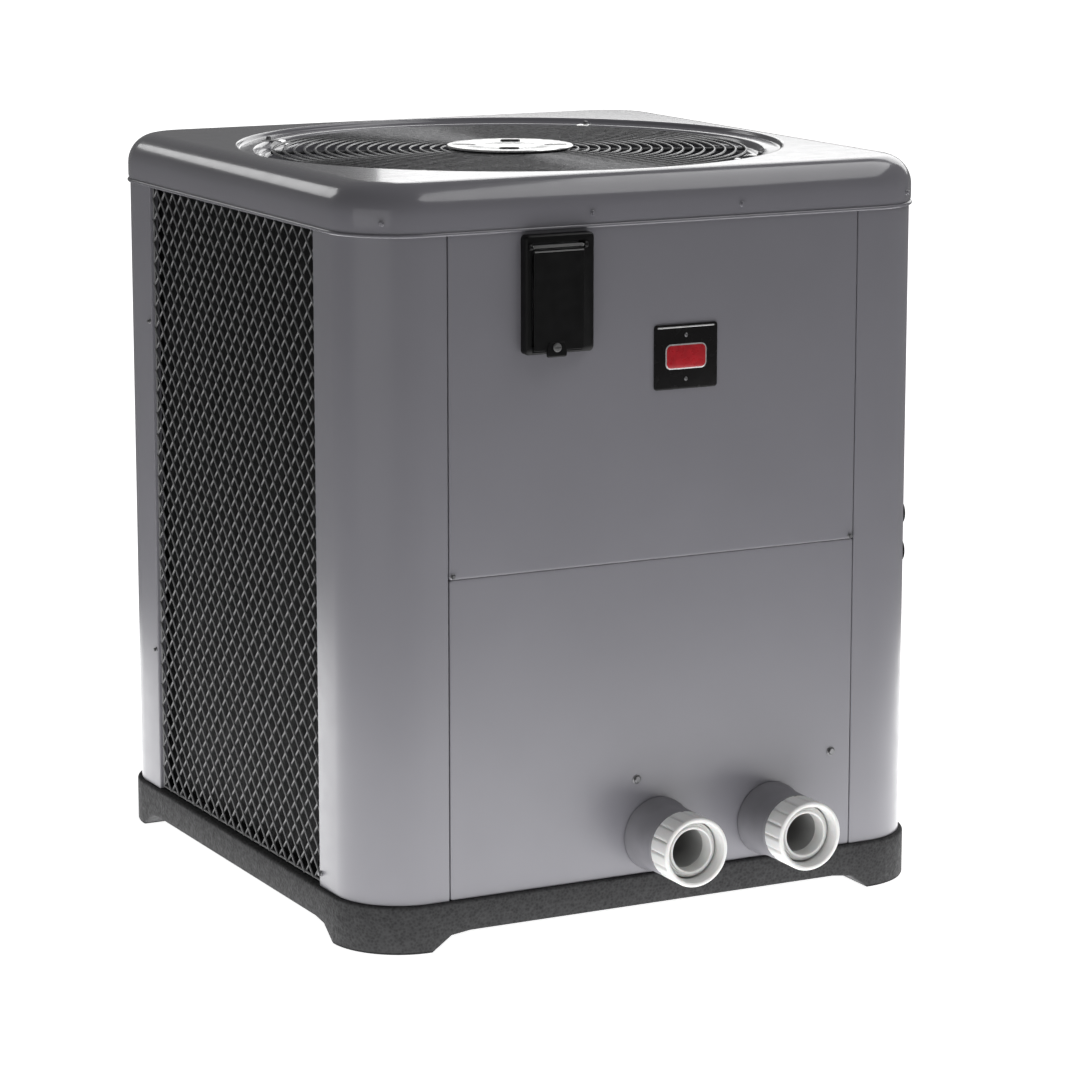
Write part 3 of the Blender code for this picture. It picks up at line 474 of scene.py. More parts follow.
def add_hoop(shape, radius, height, wire, around=160, sides=8):
    """Adds a round wire ring that lies flat."""
    rings = []
    for i in range(around):
        angle = 2 * math.pi * i / around
        ring = []
        for k in range(sides):
            turn = 2 * math.pi * k / sides
            reach = radius + wire * math.cos(turn)
            ring.append(shape.verts.new((reach * math.cos(angle), reach * math.sin(angle),
                                         height + wire * math.sin(turn))))
        rings.append(ring)
    for i, ring in enumerate(rings):
        after = rings[(i + 1) % around]
        for k in range(sides):
            m = (k + 1) % sides
            shape.faces.new((ring[k], ring[m], after[m], after[k]))


def square_loop(half, radius, height, straight=24, corner=20):
    """A rounded square of points, with its sides divided as finely as its corners."""
    inner = half - radius
    points = []
    for turn in range(4):
        spin = Matrix.Rotation(math.pi / 2 * turn, 3, "Z")
        side = [(half, -inner + 2 * inner * i / straight) for i in range(straight)]
        for x, y in side + arc((inner, inner), radius, 0, 90, corner)[:-1]:
            points.append(spin @ Vector((x, y, height)))
    return points


def round_loop(radius, height):
    """A circle whose points lie at the same bearings as the rounded square's."""
    loop = []
    for point in square_loop(HALF, BASE_RADIUS, height):
        bearing = math.atan2(point.y, point.x)
        loop.append(Vector((radius * math.cos(bearing), radius * math.sin(bearing), height)))
    return loop


def smooth_step(value, low, high):
    t = min(max((value - low) / (high - low), 0.0), 1.0)
    return t * t * (3 - 2 * t)


# ---------------------------------------------------------------- base and cabinet

def make_base():
    """The moulded pan: a pebbled skirt with four corner feet, shaped from the rounded square inwards."""
    skirt = 0.0215
    foot_in, foot_out = 0.278, 0.301
    edge = 0.004

    def underside(x, y):
        foot = smooth_step(abs(x), foot_in, foot_out) * smooth_step(abs(y), foot_in, foot_out)
        pad = 1 - smooth_step(max(abs(x), abs(y)), 0.064, 0.070)
        return skirt * (1 - max(foot, pad))

    rings = []
    for inset in (0.3, 0.25, 0.2, 0.12, 0.06, 0.02, 0.008):
        rings.append(square_loop(HALF - inset, max(BASE_RADIUS - inset, 0.01), BASE_TOP))
    for step in range(5):
        turn = math.radians(90 * step / 4)
        inset = edge * (1 - math.sin(turn))
        rings.append(square_loop(HALF - inset, BASE_RADIUS - inset, BASE_TOP - edge * (1 - math.cos(turn))))
    rounding = {0.0: 0.0025, 0.001: 0.0007}
    for inset in (0.0, 0.001, 0.003, 0.010, 0.025, 0.050, 0.080, 0.095, 0.102, 0.108, 0.114, 0.120, 0.130,
                  0.18, 0.25, 0.328, 0.332, 0.337, 0.36):
        loop = square_loop(HALF - inset, max(BASE_RADIUS - inset, 0.01), 0)
        rings.append([(p.x, p.y, underside(p.x, p.y) + rounding.get(inset, 0.0)) for p in loop])
    piece("base_moulding", skin(rings), BASE, "cabinet", ["base_pan"], 40)


def make_posts():
    """Sheet wrapped round each corner, with rolled edges at the seams and the coil guards."""
    inner = WALL - WALL_RADIUS
    roll = 0.0018
    lip = 0.012
    seam = SEAM_X + 0.0012
    mesh_edge = MESH_HALF + 0.0005
    for end, sy in (("front", -1), ("rear", 1)):
        for side, sx in (("left", -1), ("right", 1)):
            last = seam if end == "front" else mesh_edge
            outer = [(WALL - lip, mesh_edge)] + arc((WALL - roll, mesh_edge + roll), roll, -90, 0, 4)
            outer += arc((inner, inner), WALL_RADIUS, 0, 90, 36)
            outer += arc((last + roll, WALL - roll), roll, 90, 180, 4) + [(last, WALL - lip)]
            inside = [(last + SHEET, WALL - lip), (last + SHEET, WALL - roll)]
            inside += [(last + roll, WALL - SHEET)]
            inside += arc((inner, inner), WALL_RADIUS - SHEET, 90, 0, 36)
            inside += [(WALL - SHEET, mesh_edge + roll), (WALL - roll, mesh_edge + SHEET),
                       (WALL - lip, mesh_edge + SHEET)]
            points = [(sx * x, sy * y) for x, y in outer + inside]
            post = piece(f"post_{end}_{side}", prism(points, POST_BOTTOM, POST_TOP), PAINT, "cabinet",
                         [f"corner_post_{end}_{side}"])
            if (end, side) == ("front", "right"):
                for grommet in ("entry_grommet_upper", "entry_grommet_lower"):
                    middle = middle_of(grommet)
                    bearing = math.atan2(middle.y + inner, middle.x - inner)
                    hole = turned([(0, -0.03), (0.0112, -0.03), (0.0112, 0.03), (0, 0.03)], 32, axis="X")
                    place = Matrix.Translation(middle) @ Matrix.Rotation(bearing, 4, "Z")
                    bmesh.ops.transform(hole, matrix=place, verts=hole.verts)
                    carve(post, hole)


def folded_panel(name, low, high, replaced):
    """A flat pressed panel with rounded edges folded back all round."""
    roll = 0.0010
    lip = 0.010
    middle = ((low[0] + high[0]) / 2, (low[2] + high[2]) / 2)
    half_x, half_z = (high[0] - low[0]) / 2, (high[2] - low[2]) / 2
    rings = []

    def ring(inset, depth):
        outline = rounded_rectangle(half_x - inset, half_z - inset, 0.0025, 4, middle)
        rings.append([(x, -WALL + depth, z) for x, z in outline])

    ring(SHEET + roll, SHEET)
    ring(SHEET, SHEET + roll * 0.6)
    ring(SHEET, lip)
    ring(0, lip)
    for step in range(5):
        turn = math.radians(90 * step / 4)
        ring(roll * (1 - math.cos(turn)), roll * (1 - math.sin(turn)))
    ring(roll + 0.003, 0)
    return piece(name, skin(rings), PAINT, "cabinet", [replaced])


def make_panels():
    """The upper panel with its opening for the keypad, and the lower one with its two pipe holes."""
    upper = folded_panel("panel_upper", UPPER_LOW, (UPPER_HIGH[0], 0, POST_TOP), "front_panel_upper")
    recess = block((FRAME_LOW[0] + 0.014, -WALL - 0.02, FRAME_LOW[2] + 0.010),
                   (FRAME_HIGH[0] - 0.017, -WALL + 0.02, FRAME_HIGH[2] - 0.014))
    carve(upper, recess)
    lower = folded_panel("panel_lower", LOWER_LOW, (LOWER_HIGH[0], 0, LOWER_HIGH[2] + 0.0008),
                         "front_panel_lower")
    hole = [(0, -0.02), (0.0337, -0.02), (0.0337, 0.02), (0, 0.02)]
    for side in ("inlet", "outlet"):
        x, _, z = union_centre(side)
        carve(lower, turned(hole, 48, (x, -WALL, z), "Y"))


def make_cover():
    """The pressed top: hemmed skirt, rounded shoulder, flat top and a stepped lip down to the fan throat."""
    hem = 0.0022
    bottom = COVER_LOW[2]
    fillet = 0.038
    sheet = 0.0014
    rings = []
    shoulder = HEIGHT - fillet

    def square(inset, height):
        rings.append(square_loop(COVER_HALF - inset, COVER_RADIUS - inset, height))

    square(sheet + hem, bottom + 0.004)
    square(sheet, bottom)
    for step in range(7):
        turn = math.radians(-90 + 200 * step / 6)
        square(hem * 0.2 - hem * math.cos(turn) * 0.8, bottom + hem + hem * math.sin(turn))
    square(0.0006, bottom + 2.6 * hem)
    square(0, bottom + 4 * hem)
    square(0, shoulder - 0.004)
    for step in range(13):
        turn = math.radians(90 * step / 12)
        square(fillet * (1 - math.cos(turn)), shoulder + fillet * math.sin(turn))
    square(fillet + 0.0015, HEIGHT)
    rings.append(round_loop(LIP[0][0] + 0.0015, HEIGHT))
    for radius, drop in LIP:
        rings.append(round_loop(radius, HEIGHT - drop))
    for radius, drop in LIP[::-1]:
        rings.append(round_loop(radius + sheet * 0.7, HEIGHT - drop - sheet))
    for step in range(12, -1, -3):
        turn = math.radians(90 * step / 12)
        inset = sheet + (fillet - sheet) * (1 - math.cos(turn))
        square(inset, shoulder + (fillet - sheet) * math.sin(turn))
    piece("cover_shell", skin(rings, closed=True), COVER_PAINT, "cabinet", ["top_cover"], 50)


# ---------------------------------------------------------------- coil and guards

def add_lattice(shape, half, low, high, pitch_x, pitch_z, wire, place):
    """Two layers of straight diagonal wires, clipped to a rectangle."""
    slope = pitch_z / pitch_x
    reach = (high - low) + 2 * half * slope
    count = int(reach / pitch_z) + 2
    for lean, depth in ((1, 0.0), (-1, -wire * 1.5)):
        for k in range(count):
            start = low + k * pitch_z - (2 * half * slope if lean > 0 else 0)
            ends = []
            for x in (-half, half):
                z = start + slope * (x + half) if lean > 0 else start - slope * (x + half)
                ends.append([x, z])
            clipped = clip_to_band(ends, low, high)
            if clipped:
                add_rod(shape, place(*clipped[0], depth), place(*clipped[1], depth), wire, 8)


def clip_to_band(ends, low, high):
    """Cuts a slanted segment to the heights between low and high."""
    (x0, z0), (x1, z1) = ends
    kept = []
    for limit in (low, high):
        t = (limit - z0) / (z1 - z0)
        kept.append(min(max(t, 0.0), 1.0))
    first, last = sorted(kept)
    if last - first < 0.005:
        return None
    return [(x0 + (x1 - x0) * t, z0 + (z1 - z0) * t) for t in (first, last)]


def make_guards():
    """A frame of straight rods round each coil face, filled with crossed wires."""
    wire = 0.0014
    rod = 0.0016
    out = GUARD_HIGH[0] - wire
    pitch_x = 2 * MESH_HALF / 19
    pitch_z = (GUARD_HIGH[2] - GUARD_LOW[2]) / 29.5
    places = {
        "left": lambda a, b, c: (-out - c, a, b),
        "right": lambda a, b, c: (out + c, a, b),
        "back": lambda a, b, c: (a, out + c, b),
    }
    for side, place in places.items():
        shape = bmesh.new()
        half = MESH_HALF - 0.001
        low, high = GUARD_LOW[2] + 0.002, GUARD_HIGH[2] - 0.002
        add_lattice(shape, half, low, high, pitch_x, pitch_z, wire, place)
        for edge in (-half, half):
            add_rod(shape, place(edge, low, -wire), place(edge, high, -wire), rod, 8)
        for level in (low + 0.001, high):
            add_rod(shape, place(-half, level, -wire), place(half, level, -wire), rod, 8)
        piece(f"mesh_guard_{side}", shape, WIRE, "cabinet", [f"coil_guard_{side}"], 50)


def coil_path(step):
    """Points and outward directions along the coil's three faces and two bends."""
    radius = 0.066
    end = COIL_LOW[1]
    inner = COIL_HIGH[0] - radius
    spots = []
    length = inner - end
    count = int(length / step)
    for i in range(count):
        spots.append((-COIL_HIGH[0], end + length * i / count, -1.0, 0.0))
    bend = int(radius * math.pi / 2 / step)
    for i in range(bend):
        turn = math.pi - math.pi / 2 * i / bend
        nx, ny = math.cos(turn), math.sin(turn)
        spots.append((-inner + radius * nx, inner + radius * ny, nx, ny))
    count = int(2 * inner / step)
    for i in range(count):
        spots.append((-inner + 2 * inner * i / count, COIL_HIGH[0], 0.0, 1.0))
    for i in range(bend):
        turn = math.pi / 2 - math.pi / 2 * i / bend
        nx, ny = math.cos(turn), math.sin(turn)
        spots.append((inner + radius * nx, inner + radius * ny, nx, ny))
    for i in range(int(length / step)):
        spots.append((COIL_HIGH[0], inner - length * i / int(length / step), 1.0, 0.0))
    return spots


def make_coil():
    """Upright fins all round the coil, in front of a dark core."""
    depth = 0.038
    thick = 0.00035
    low, high = COIL_LOW[2] + 0.001, COIL_HIGH[2]
    shape = bmesh.new()
    for x, y, nx, ny in coil_path(0.0034):
        tx, ty = -ny * thick, nx * thick
        corners = []
        for height in (low, high):
            for reach, side in ((0, -1), (0, 1), (-depth, 1), (-depth, -1)):
                spot = (x + nx * reach + tx * side, y + ny * reach + ty * side, height)
                corners.append(shape.verts.new(spot))
        shape.faces.new(corners[:4])
        shape.faces.new(corners[4:])
        for i in range(4):
            j = (i + 1) % 4
            shape.faces.new((corners[i], corners[j], corners[4 + j], corners[4 + i]))
    piece("coil_fins", shape, FINS, "cabinet", ["evaporator_coil"])
    path = coil_path(0.02)
    outline = [(x - nx * 0.014, y - ny * 0.014) for x, y, nx, ny in path]
    outline += [(x - nx * 0.024, y - ny * 0.024) for x, y, nx, ny in path[::-1]]
    core = prism(outline, low + 0.002, high - 0.002)
    piece("coil_core", core, FINS, "cabinet", (), 32)
    for k in range(16):
        level = low + 0.035 + k * (high - low - 0.07) / 15
        tubes = bmesh.new()
        for x, y, nx, ny in (path[0], path[-1]):
            for reach in (-0.010, -0.028):
                bottom = Vector((x + nx * reach, y, level))
                loop = arc((0, 0), 0.009, 0, 180, 8)
                points = [bottom + Vector((0, -b, a + 0.009)) for a, b in loop]
                for start, finish in zip(points, points[1:]):
                    add_rod(tubes, start, finish, 0.0045, 10)
        piece(f"return_bends_{k + 1}", tubes, COPPER, "cabinet", (), 32)


# ---------------------------------------------------------------- fan

def make_fan_guard():
    """Rings on eight spokes, held to the cover's rim by four screwed straps."""
    wire = 0.0016
    level = FAN_HIGH[2] - 0.0022
    shape = bmesh.new()
    first, last = 0.0885, 0.3045
    hoops = 17
    for k in range(hoops):
        add_hoop(shape, first + (last - first) * k / (hoops - 1), level, wire, 144, 6)
    add_hoop(shape, 0.066, level, wire, 96, 6)
    add_hoop(shape, 0.0768, level, wire, 96, 6)
    spokes = 8
    for k in range(spokes):
        angle = 2 * math.pi * k / spokes + math.pi / 8
        way = Vector((math.cos(angle), math.sin(angle), 0))
        under = level - 2 * wire + 0.0004
        add_rod(shape, way * 0.058 + Vector((0, 0, under)), way * 0.3075 + Vector((0, 0, under)), 0.0022, 8)
    piece("fan_grille", shape, RINGS, "cabinet", ["fan_guard"], 50)
    for k in range(4):
        angle = math.pi / 4 + math.pi / 2 * k
        turn = Matrix.Rotation(angle, 4, "Z")
        rings = []
        for reach, lift in ((0.3000, -0.0040), (0.3080, -0.0040), (0.3130, 0.0005), (0.3190, 0.0015),
                            (0.3400, 0.0015)):
            ring = []
            for side, up in ((-0.008, 0), (0.008, 0), (0.008, 0.0015), (-0.008, 0.0015)):
                ring.append(turn @ Vector((reach, side, level + lift + up - 0.0010)))
            rings.append(ring)
        strap = piece(f"guard_arm_{k + 1}", skin(rings), BRIGHT, "cabinet", (), 40)
        soften(strap, 0.0005, 2)
        spot = turn @ Vector((0.3330, 0, level + 0.0020))
        screw_at(f"guard_arm_screw_{k + 1}", spot, Vector((0, 0, 1)), 0.0036, SCREW)


def make_motor_plate():
    """A bright pressed disc with a turned-down rim, two slots, two black plugs and a shallow dish."""
    radius = PLATE_HIGH[0]
    low, high = PLATE_LOW[2], PLATE_HIGH[2]
    under = high - 0.0010
    profile = [(0, under), (radius - 0.0030, under), (radius - 0.0022, low), (radius - 0.0006, low),
               (radius, low + 0.0006), (radius, high - 0.0012),
               (radius - 0.0012, high - 0.0002), (radius - 0.0025, high), (0.050, high),
               (0.0485, high - 0.0004), (0.030, high - 0.0004), (0.0285, high), (0, high)]
    disc = piece("motor_plate", turned(profile, 96), BRIGHT, "cabinet",
                 ["motor_mount_plate"])
    slot_long, slot_wide = 0.0150, 0.0060
    plug_deep, plug_wide, plug_rise = 0.0060, 0.0128, 0.0013
    for turn, name in enumerate(("right", "rear", "left", "front")):
        spin = Matrix.Rotation(math.pi / 2 * turn + PLATE_TURN, 4, "Z")
        if name in ("right", "left"):
            outline = rounded_rectangle(slot_long, slot_wide, slot_wide * 0.95, 6)
            slot = prism(outline, low - 0.004, high + 0.004)
            bmesh.ops.transform(slot, matrix=spin @ Matrix.Translation((0.059, 0, 0)), verts=slot.verts)
            carve(disc, slot)
        else:
            rings = []
            centre = 0.048 if name == "rear" else 0.055
            top = high + plug_rise
            for inset, level in ((0.0, high - 0.0005), (0.0, top - 0.0006), (0.0006, top)):
                outline = rounded_rectangle(plug_deep - inset, plug_wide - inset, plug_deep * 0.9 - inset, 8)
                rings.append([spin @ Vector((centre + x, y, level)) for x, y in outline])
            piece(f"motor_plug_{name}", skin(rings), RUBBER, "cabinet", (), 40)
    # Painted shade: a black disc fills the plate's underside, a dark sheet that shows through the slots as
    # the shade beneath the plate
    rim, foot, roof = radius - 0.0034, low + 0.0002, under - 0.0003
    shade_disc = [(0, foot), (rim, foot), (rim, roof), (0, roof)]
    piece("motor_slot_shade_disc", turned(shade_disc, 96), RUBBER, "cabinet")


def make_fan():
    """Four pitched blades on a round hub with a sunken ring in its top."""
    middle = (BLADES_LOW[2] + BLADES_HIGH[2]) / 2
    tip = BLADES_HIGH[0]
    shape = bmesh.new()
    along, across = 14, 12
    thick = 0.0025
    for k in range(4):
        start = math.pi / 2 * k
        sides = {}
        for layer in (0, 1):
            for i in range(along + 1):
                share = i / along
                radius = 0.038 + (tip - 0.038) * share
                span = math.radians(62 - 6 * share) * (1 - 0.10 * share ** 6)
                sweep = math.radians(14) * share ** 2
                for j in range(across + 1):
                    t = j / across - 0.5
                    angle = start + t * span + sweep
                    rise = 0.014 + 0.020 * math.sqrt(share)
                    height = middle + rise * 2 * t * (1 - 0.25 * share) - 0.006 * (1 - 4 * t * t)
                    height += thick * (layer - 0.5)
                    spot = (radius * math.cos(angle), radius * math.sin(angle), height)
                    sides[layer, i, j] = shape.verts.new(spot)
        for i in range(along):
            for j in range(across):
                for layer in (0, 1):
                    shape.faces.new((sides[layer, i, j], sides[layer, i + 1, j], sides[layer, i + 1, j + 1],
                                     sides[layer, i, j + 1]))
        border = [(i, 0) for i in range(along)] + [(along, j) for j in range(across)]
        border += [(i, across) for i in range(along, 0, -1)] + [(0, j) for j in range(across, 0, -1)]
        for (a, b), (c, d) in zip(border, border[1:] + border[:1]):
            shape.faces.new((sides[0, a, b], sides[0, c, d], sides[1, c, d], sides[1, a, b]))
    piece("fan_wheel_blades", shape, FAN_BLACK, "fan", ["fan_blades"], 40)
    hub = [(0.0068, -0.018), (0.038, -0.018), (0.0425, -0.016), (0.045, -0.012), (0.045, 0.013),
           (0.043, 0.017), (0.039, 0.0185), (0.024, 0.0185), (0.022, 0.012), (0.014, 0.012),
           (0.013, 0.0185), (0.0068, 0.0185)]
    profile = [(radius, middle + height) for radius, height in hub]
    piece("fan_hub", turned(profile, 64), FAN_BLACK, "fan")


def make_shroud():
    """The thin ring that the blades turn in, with a flange at its top."""
    inner = 0.3002
    low, high = SHROUD_LOW[2], SHROUD_HIGH[2]
    profile = [(inner, low), (inner + 0.0015, low), (inner + 0.0015, high - 0.0015), (0.322, high - 0.0015),
               (0.322, high), (inner + 0.004, high), (inner + 0.001, high - 0.002), (inner, high - 0.006)]
    piece("shroud_ring", turned(profile, 128), ZINC, "cabinet", ["fan_shroud_ring"])


# ---------------------------------------------------------------- unions

def union_centre(side):
    low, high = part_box(f"{side}_nut")
    return ((low[0] + high[0]) / 2, low[1], (low[2] + high[2]) / 2)


def backward(profile):
    """Turns (radius, depth behind the nut's front face) into a profile for turned()."""
    return [(radius, -depth) for radius, depth in profile]


def make_union(side):
    """The open half of a pipe union: a stub whose bore is darkened deep inside by a grey sleeve of painted
    shade, a wall collar, a face seal and a nut.
    """
    place = union_centre(side)
    front = place[1]
    nut_low, nut_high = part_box(f"{side}_nut")
    stub_low, stub_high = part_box(f"{side}_pipe")
    pipe, bore = 0.0302, 0.02625
    seat, seat_deep = 0.0352, 0.008
    flange, flange_deep = 0.0350, 0.0040
    mouth, tail = stub_low[1] - front, stub_high[1] - front
    shoulder = nut_high[1] - nut_low[1] - 0.0085
    ledge = mouth + 0.0055
    stub = [(bore, tail), (pipe, tail), (pipe, shoulder), (seat, shoulder), (seat, shoulder - seat_deep),
            (pipe, shoulder - seat_deep), (pipe, ledge + flange_deep), (flange - 0.0002, ledge + flange_deep),
            (flange, ledge + flange_deep - 0.0004), (flange, ledge + 0.0008), (flange - 0.0006, ledge),
            (flange - 0.0028, ledge), (flange - 0.0032, ledge - 0.0022), (pipe, ledge - 0.0026),
            (pipe, mouth + 0.0022), (pipe - 0.0007, mouth + 0.0007), (pipe - 0.0022, mouth),
            (bore + 0.0014, mouth), (bore + 0.0004, mouth + 0.0006), (bore, mouth + 0.002)]
    piece(f"{side}_stub", turned(backward(stub), 96, place, "Y"), PVC, "cabinet",
          [f"{side}_pipe"])
    # Painted shade: a darker grey sleeve lines the bore from 20 mm past the mouth to the tail, standing in
    # for the shade deep inside the pipe
    skin_out, skin_in = bore - 0.0002, bore - 0.0006
    deep, end = mouth + 0.020, tail - 0.001
    shade_sleeve = [(skin_out, deep), (skin_out, end), (skin_in, end), (skin_in, deep)]
    piece(f"{side}_bore_shade_sleeve", turned(backward(shade_sleeve), 64, place, "Y"), BORE_SHADE_GREY, "cabinet")
    clear = pipe + 0.0004
    make_collar(side, place, clear)
    seal, cord = shoulder - seat_deep - 0.0018, 0.0014
    ring = [(0.0326 + cord * math.cos(math.radians(a)), seal + cord * math.sin(math.radians(a)))
            for a in range(0, 360, 30)]
    piece(f"{side}_face_seal", turned(backward(ring), 96, place, "Y"), RUBBER, "cabinet",
          [f"{side}_o_ring"], 40)
    make_nut(side, place, clear)


def make_collar(side, place, clear):
    """The grey wall collar, which narrows in steps towards the nut."""
    low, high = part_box(f"{side}_collar")
    big = (high[0] - low[0]) / 2
    start, end = high[1] - place[1], low[1] - place[1]
    collar = [(clear, start), (big - 0.0006, start), (big, start - 0.0008), (big - 0.0001, start - 0.006),
              (big - 0.0026, start - 0.0105), (big - 0.0036, end + 0.006), (big - 0.0046, end + 0.002),
              (big - 0.0070, end), (clear, end)]
    piece(f"{side}_wall_collar", turned(backward(collar), 96, place, "Y"), COLLAR, "cabinet",
          [f"{side}_collar"])


def make_nut(side, place, clear):
    """A white nut with flutes cut round its outside and a thread inside its mouth."""
    low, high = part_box(f"{side}_nut")
    outer = (high[0] - low[0]) / 2
    reach = high[1] - low[1]
    inner = 0.0375
    flutes = 16
    flute_deep = 0.0021
    rim = 0.0060

    def flute(angle, radius, depth):
        if radius < outer - 0.0045:
            return radius
        inset = -depth
        fade = smooth_step(inset, rim * 0.4, rim) * (1 - smooth_step(inset, reach - 0.004, reach))
        wave = abs(math.sin(angle * flutes / 2))
        return radius - flute_deep * fade * (1 - smooth_step(wave, 0.0, 0.42))

    pitch = 0.0042
    crest = inner - 0.0011
    thread = []
    depth = 0.0035
    while depth < reach - 0.014:
        thread += [(inner, depth), (crest, depth + pitch * 0.35), (crest, depth + pitch * 0.55),
                   (inner, depth + pitch * 0.9)]
        depth += pitch
    nut = [(clear, reach), (outer - 0.0040, reach), (outer - 0.0014, reach - 0.0008),
           (outer - 0.0003, reach - 0.0026)]
    steps = 14
    for k in range(steps + 1):
        nut.append((outer, reach - 0.004 - (reach - 0.0060) * k / steps))
    nut += [(outer - 0.0004, 0.0010), (outer - 0.0014, 0.0002), (outer - 0.0024, 0.0), (inner + 0.0022, 0.0),
            (inner + 0.0010, 0.0006), (inner + 0.0004, 0.0020)]
    wall = reach - 0.008
    nut += thread + [(inner, wall), (clear, wall)]
    piece(f"{side}_union_nut", turned(backward(nut), 192, place, "Y", flute), PVC, f"{side}_union",
          [f"{side}_nut"], 38)


# ---------------------------------------------------------------- control cover and badge

def make_control():
    """The black frame round the keypad, and the hinge that its flap hangs on."""
    depth = 0.0145
    middle = ((FRAME_LOW[0] + FRAME_HIGH[0]) / 2, (FRAME_LOW[2] + FRAME_HIGH[2]) / 2)
    half_x = (FRAME_HIGH[0] - FRAME_LOW[0]) / 2
    half_z = (FRAME_HIGH[2] - FRAME_LOW[2]) / 2
    pocket_low, pocket_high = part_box("control_panel")
    rings = []
    for inset, out in ((0.0, 0.0003), (0.0, depth - 0.0045), (0.0006, depth - 0.0022),
                       (0.0020, depth - 0.0006), (0.0042, depth)):
        drop = inset * 0.4
        centre = (middle[0], middle[1] + drop)
        outline = rounded_rectangle(half_x - inset, half_z - inset - drop, 0.0055 - inset * 0.5, 8, centre)
        rings.append([(x, -WALL - out, z) for x, z in outline])
    case = piece("control_case", skin(rings), BLACK, "cabinet", ["control_frame"])
    gap = 0.0005
    carve(case, block((pocket_low[0] - gap, -WALL - 0.03, pocket_low[2] - gap),
                      (pocket_high[0] + gap, -WALL + 0.01, pocket_high[2] + gap)))
    slack = 0.0006
    carve(case, block((FLAP_LOW[0] - slack, -WALL - 0.03, FRAME_LOW[2] - 0.01),
                      (FLAP_HIGH[0] + slack, -WALL - depth + 0.0012, pocket_low[2] + 0.01)))
    soften(case, 0.0006, 2)
    flap_mid = (FLAP_LOW[0] + FLAP_HIGH[0]) / 2
    reach = (FLAP_HIGH[0] - FLAP_LOW[0]) / 2 + 0.0034
    half, outer = 0.0022, 0.0040
    knuckle = [(0, -half), (outer - 0.0006, -half), (outer, -0.0014), (outer, 0.0014), (outer - 0.0006, half),
               (0, half)]
    for name, side in (("left", -1), ("right", 1)):
        shape = turned(knuckle, 32, (flap_mid + side * reach, HINGE_Y, HINGE_Z), "X")
        piece(f"hinge_knuckle_{name}", shape, BLACK, "cabinet")
    half = 0.0375
    rod = [(0, -half), (0.0014, -half), (0.0017, -half + 0.0005), (0.0017, half - 0.0005), (0.0014, half),
           (0, half)]
    piece("hinge_rod", turned(rod, 24, (flap_mid, HINGE_Y, HINGE_Z), "X"), HINGE_GREY, "cabinet",
          ["flap_hinge_pin"])


def make_flap():
    """A flat lid with rounded edges, a barrel and a rib along the pin, and a finger tab at its foot."""
    low_x, high_x = FLAP_LOW[0], FLAP_HIGH[0]
    front = FLAP_LOW[1]
    back = front + 0.0025
    low = FLAP_LOW[2]
    foot = low + 0.008
    top = HINGE_Z - 0.0024
    middle_x = (low_x + high_x) / 2
    middle = (middle_x, (foot + top) / 2)
    outline = rounded_rectangle((high_x - low_x) / 2, (top - foot) / 2, 0.0022, 6, middle)
    lid = piece("flap_lid", prism(outline, front, back, "Y"), BLACK, "flap",
                ["control_flap"])
    soften(lid, 0.0007, 3)
    rings = []
    for height, out, half in ((foot + 0.010, 0.0004, 0.0100), (foot + 0.003, 0.0012, 0.0125),
                              (foot - 0.004, 0.0018, 0.0130), (low + 0.001, 0.0016, 0.0125),
                              (low, 0.0004, 0.0118)):
        rings.append([(LATCH_X - half, front - out, height), (LATCH_X + half, front - out, height),
                      (LATCH_X + half, back, height), (LATCH_X - half, back, height)])
    tab = piece("flap_tab", skin(rings), BLACK, "flap")
    soften(tab, 0.0007, 3)
    half = (high_x - low_x) / 2 - 0.0006
    barrel = [(0.0019, -half), (0.0021, -half), (0.0022, -half + 0.0003), (0.0022, half - 0.0003),
              (0.0021, half), (0.0019, half)]
    piece("flap_barrel", turned(barrel, 32, (middle_x, HINGE_Y, HINGE_Z), "X"), LATCH, "flap")
    rib = [(0, -half), (0.0008, -half), (0.0009, -half + 0.0004), (0.0009, half - 0.0004), (0.0008, half),
           (0, half)]
    piece("flap_rib", turned(rib, 20, (middle_x, front - 0.0002, HINGE_Z - 0.0054), "X"), LATCH, "flap")


def make_latch():
    """A low round knob with a slot across its face."""
    front = FLAP_LOW[1]
    knob = [(0, 0.0003), (0.0054, 0.0003), (0.0055, 0.0012), (0.0052, 0.0026), (0.0042, 0.0036),
            (0.0020, 0.0038), (0, 0.0038)]
    head = piece("latch_knob", turned(knob, 48, (LATCH_X, front, LATCH_Z), "Y"), LATCH, "latch",
                 ["flap_latch"])
    long, wide = 0.0042, 0.0006
    carve(head, block((LATCH_X - long, front - 0.006, LATCH_Z - wide),
                      (LATCH_X + long, front - 0.0028, LATCH_Z + wide)))


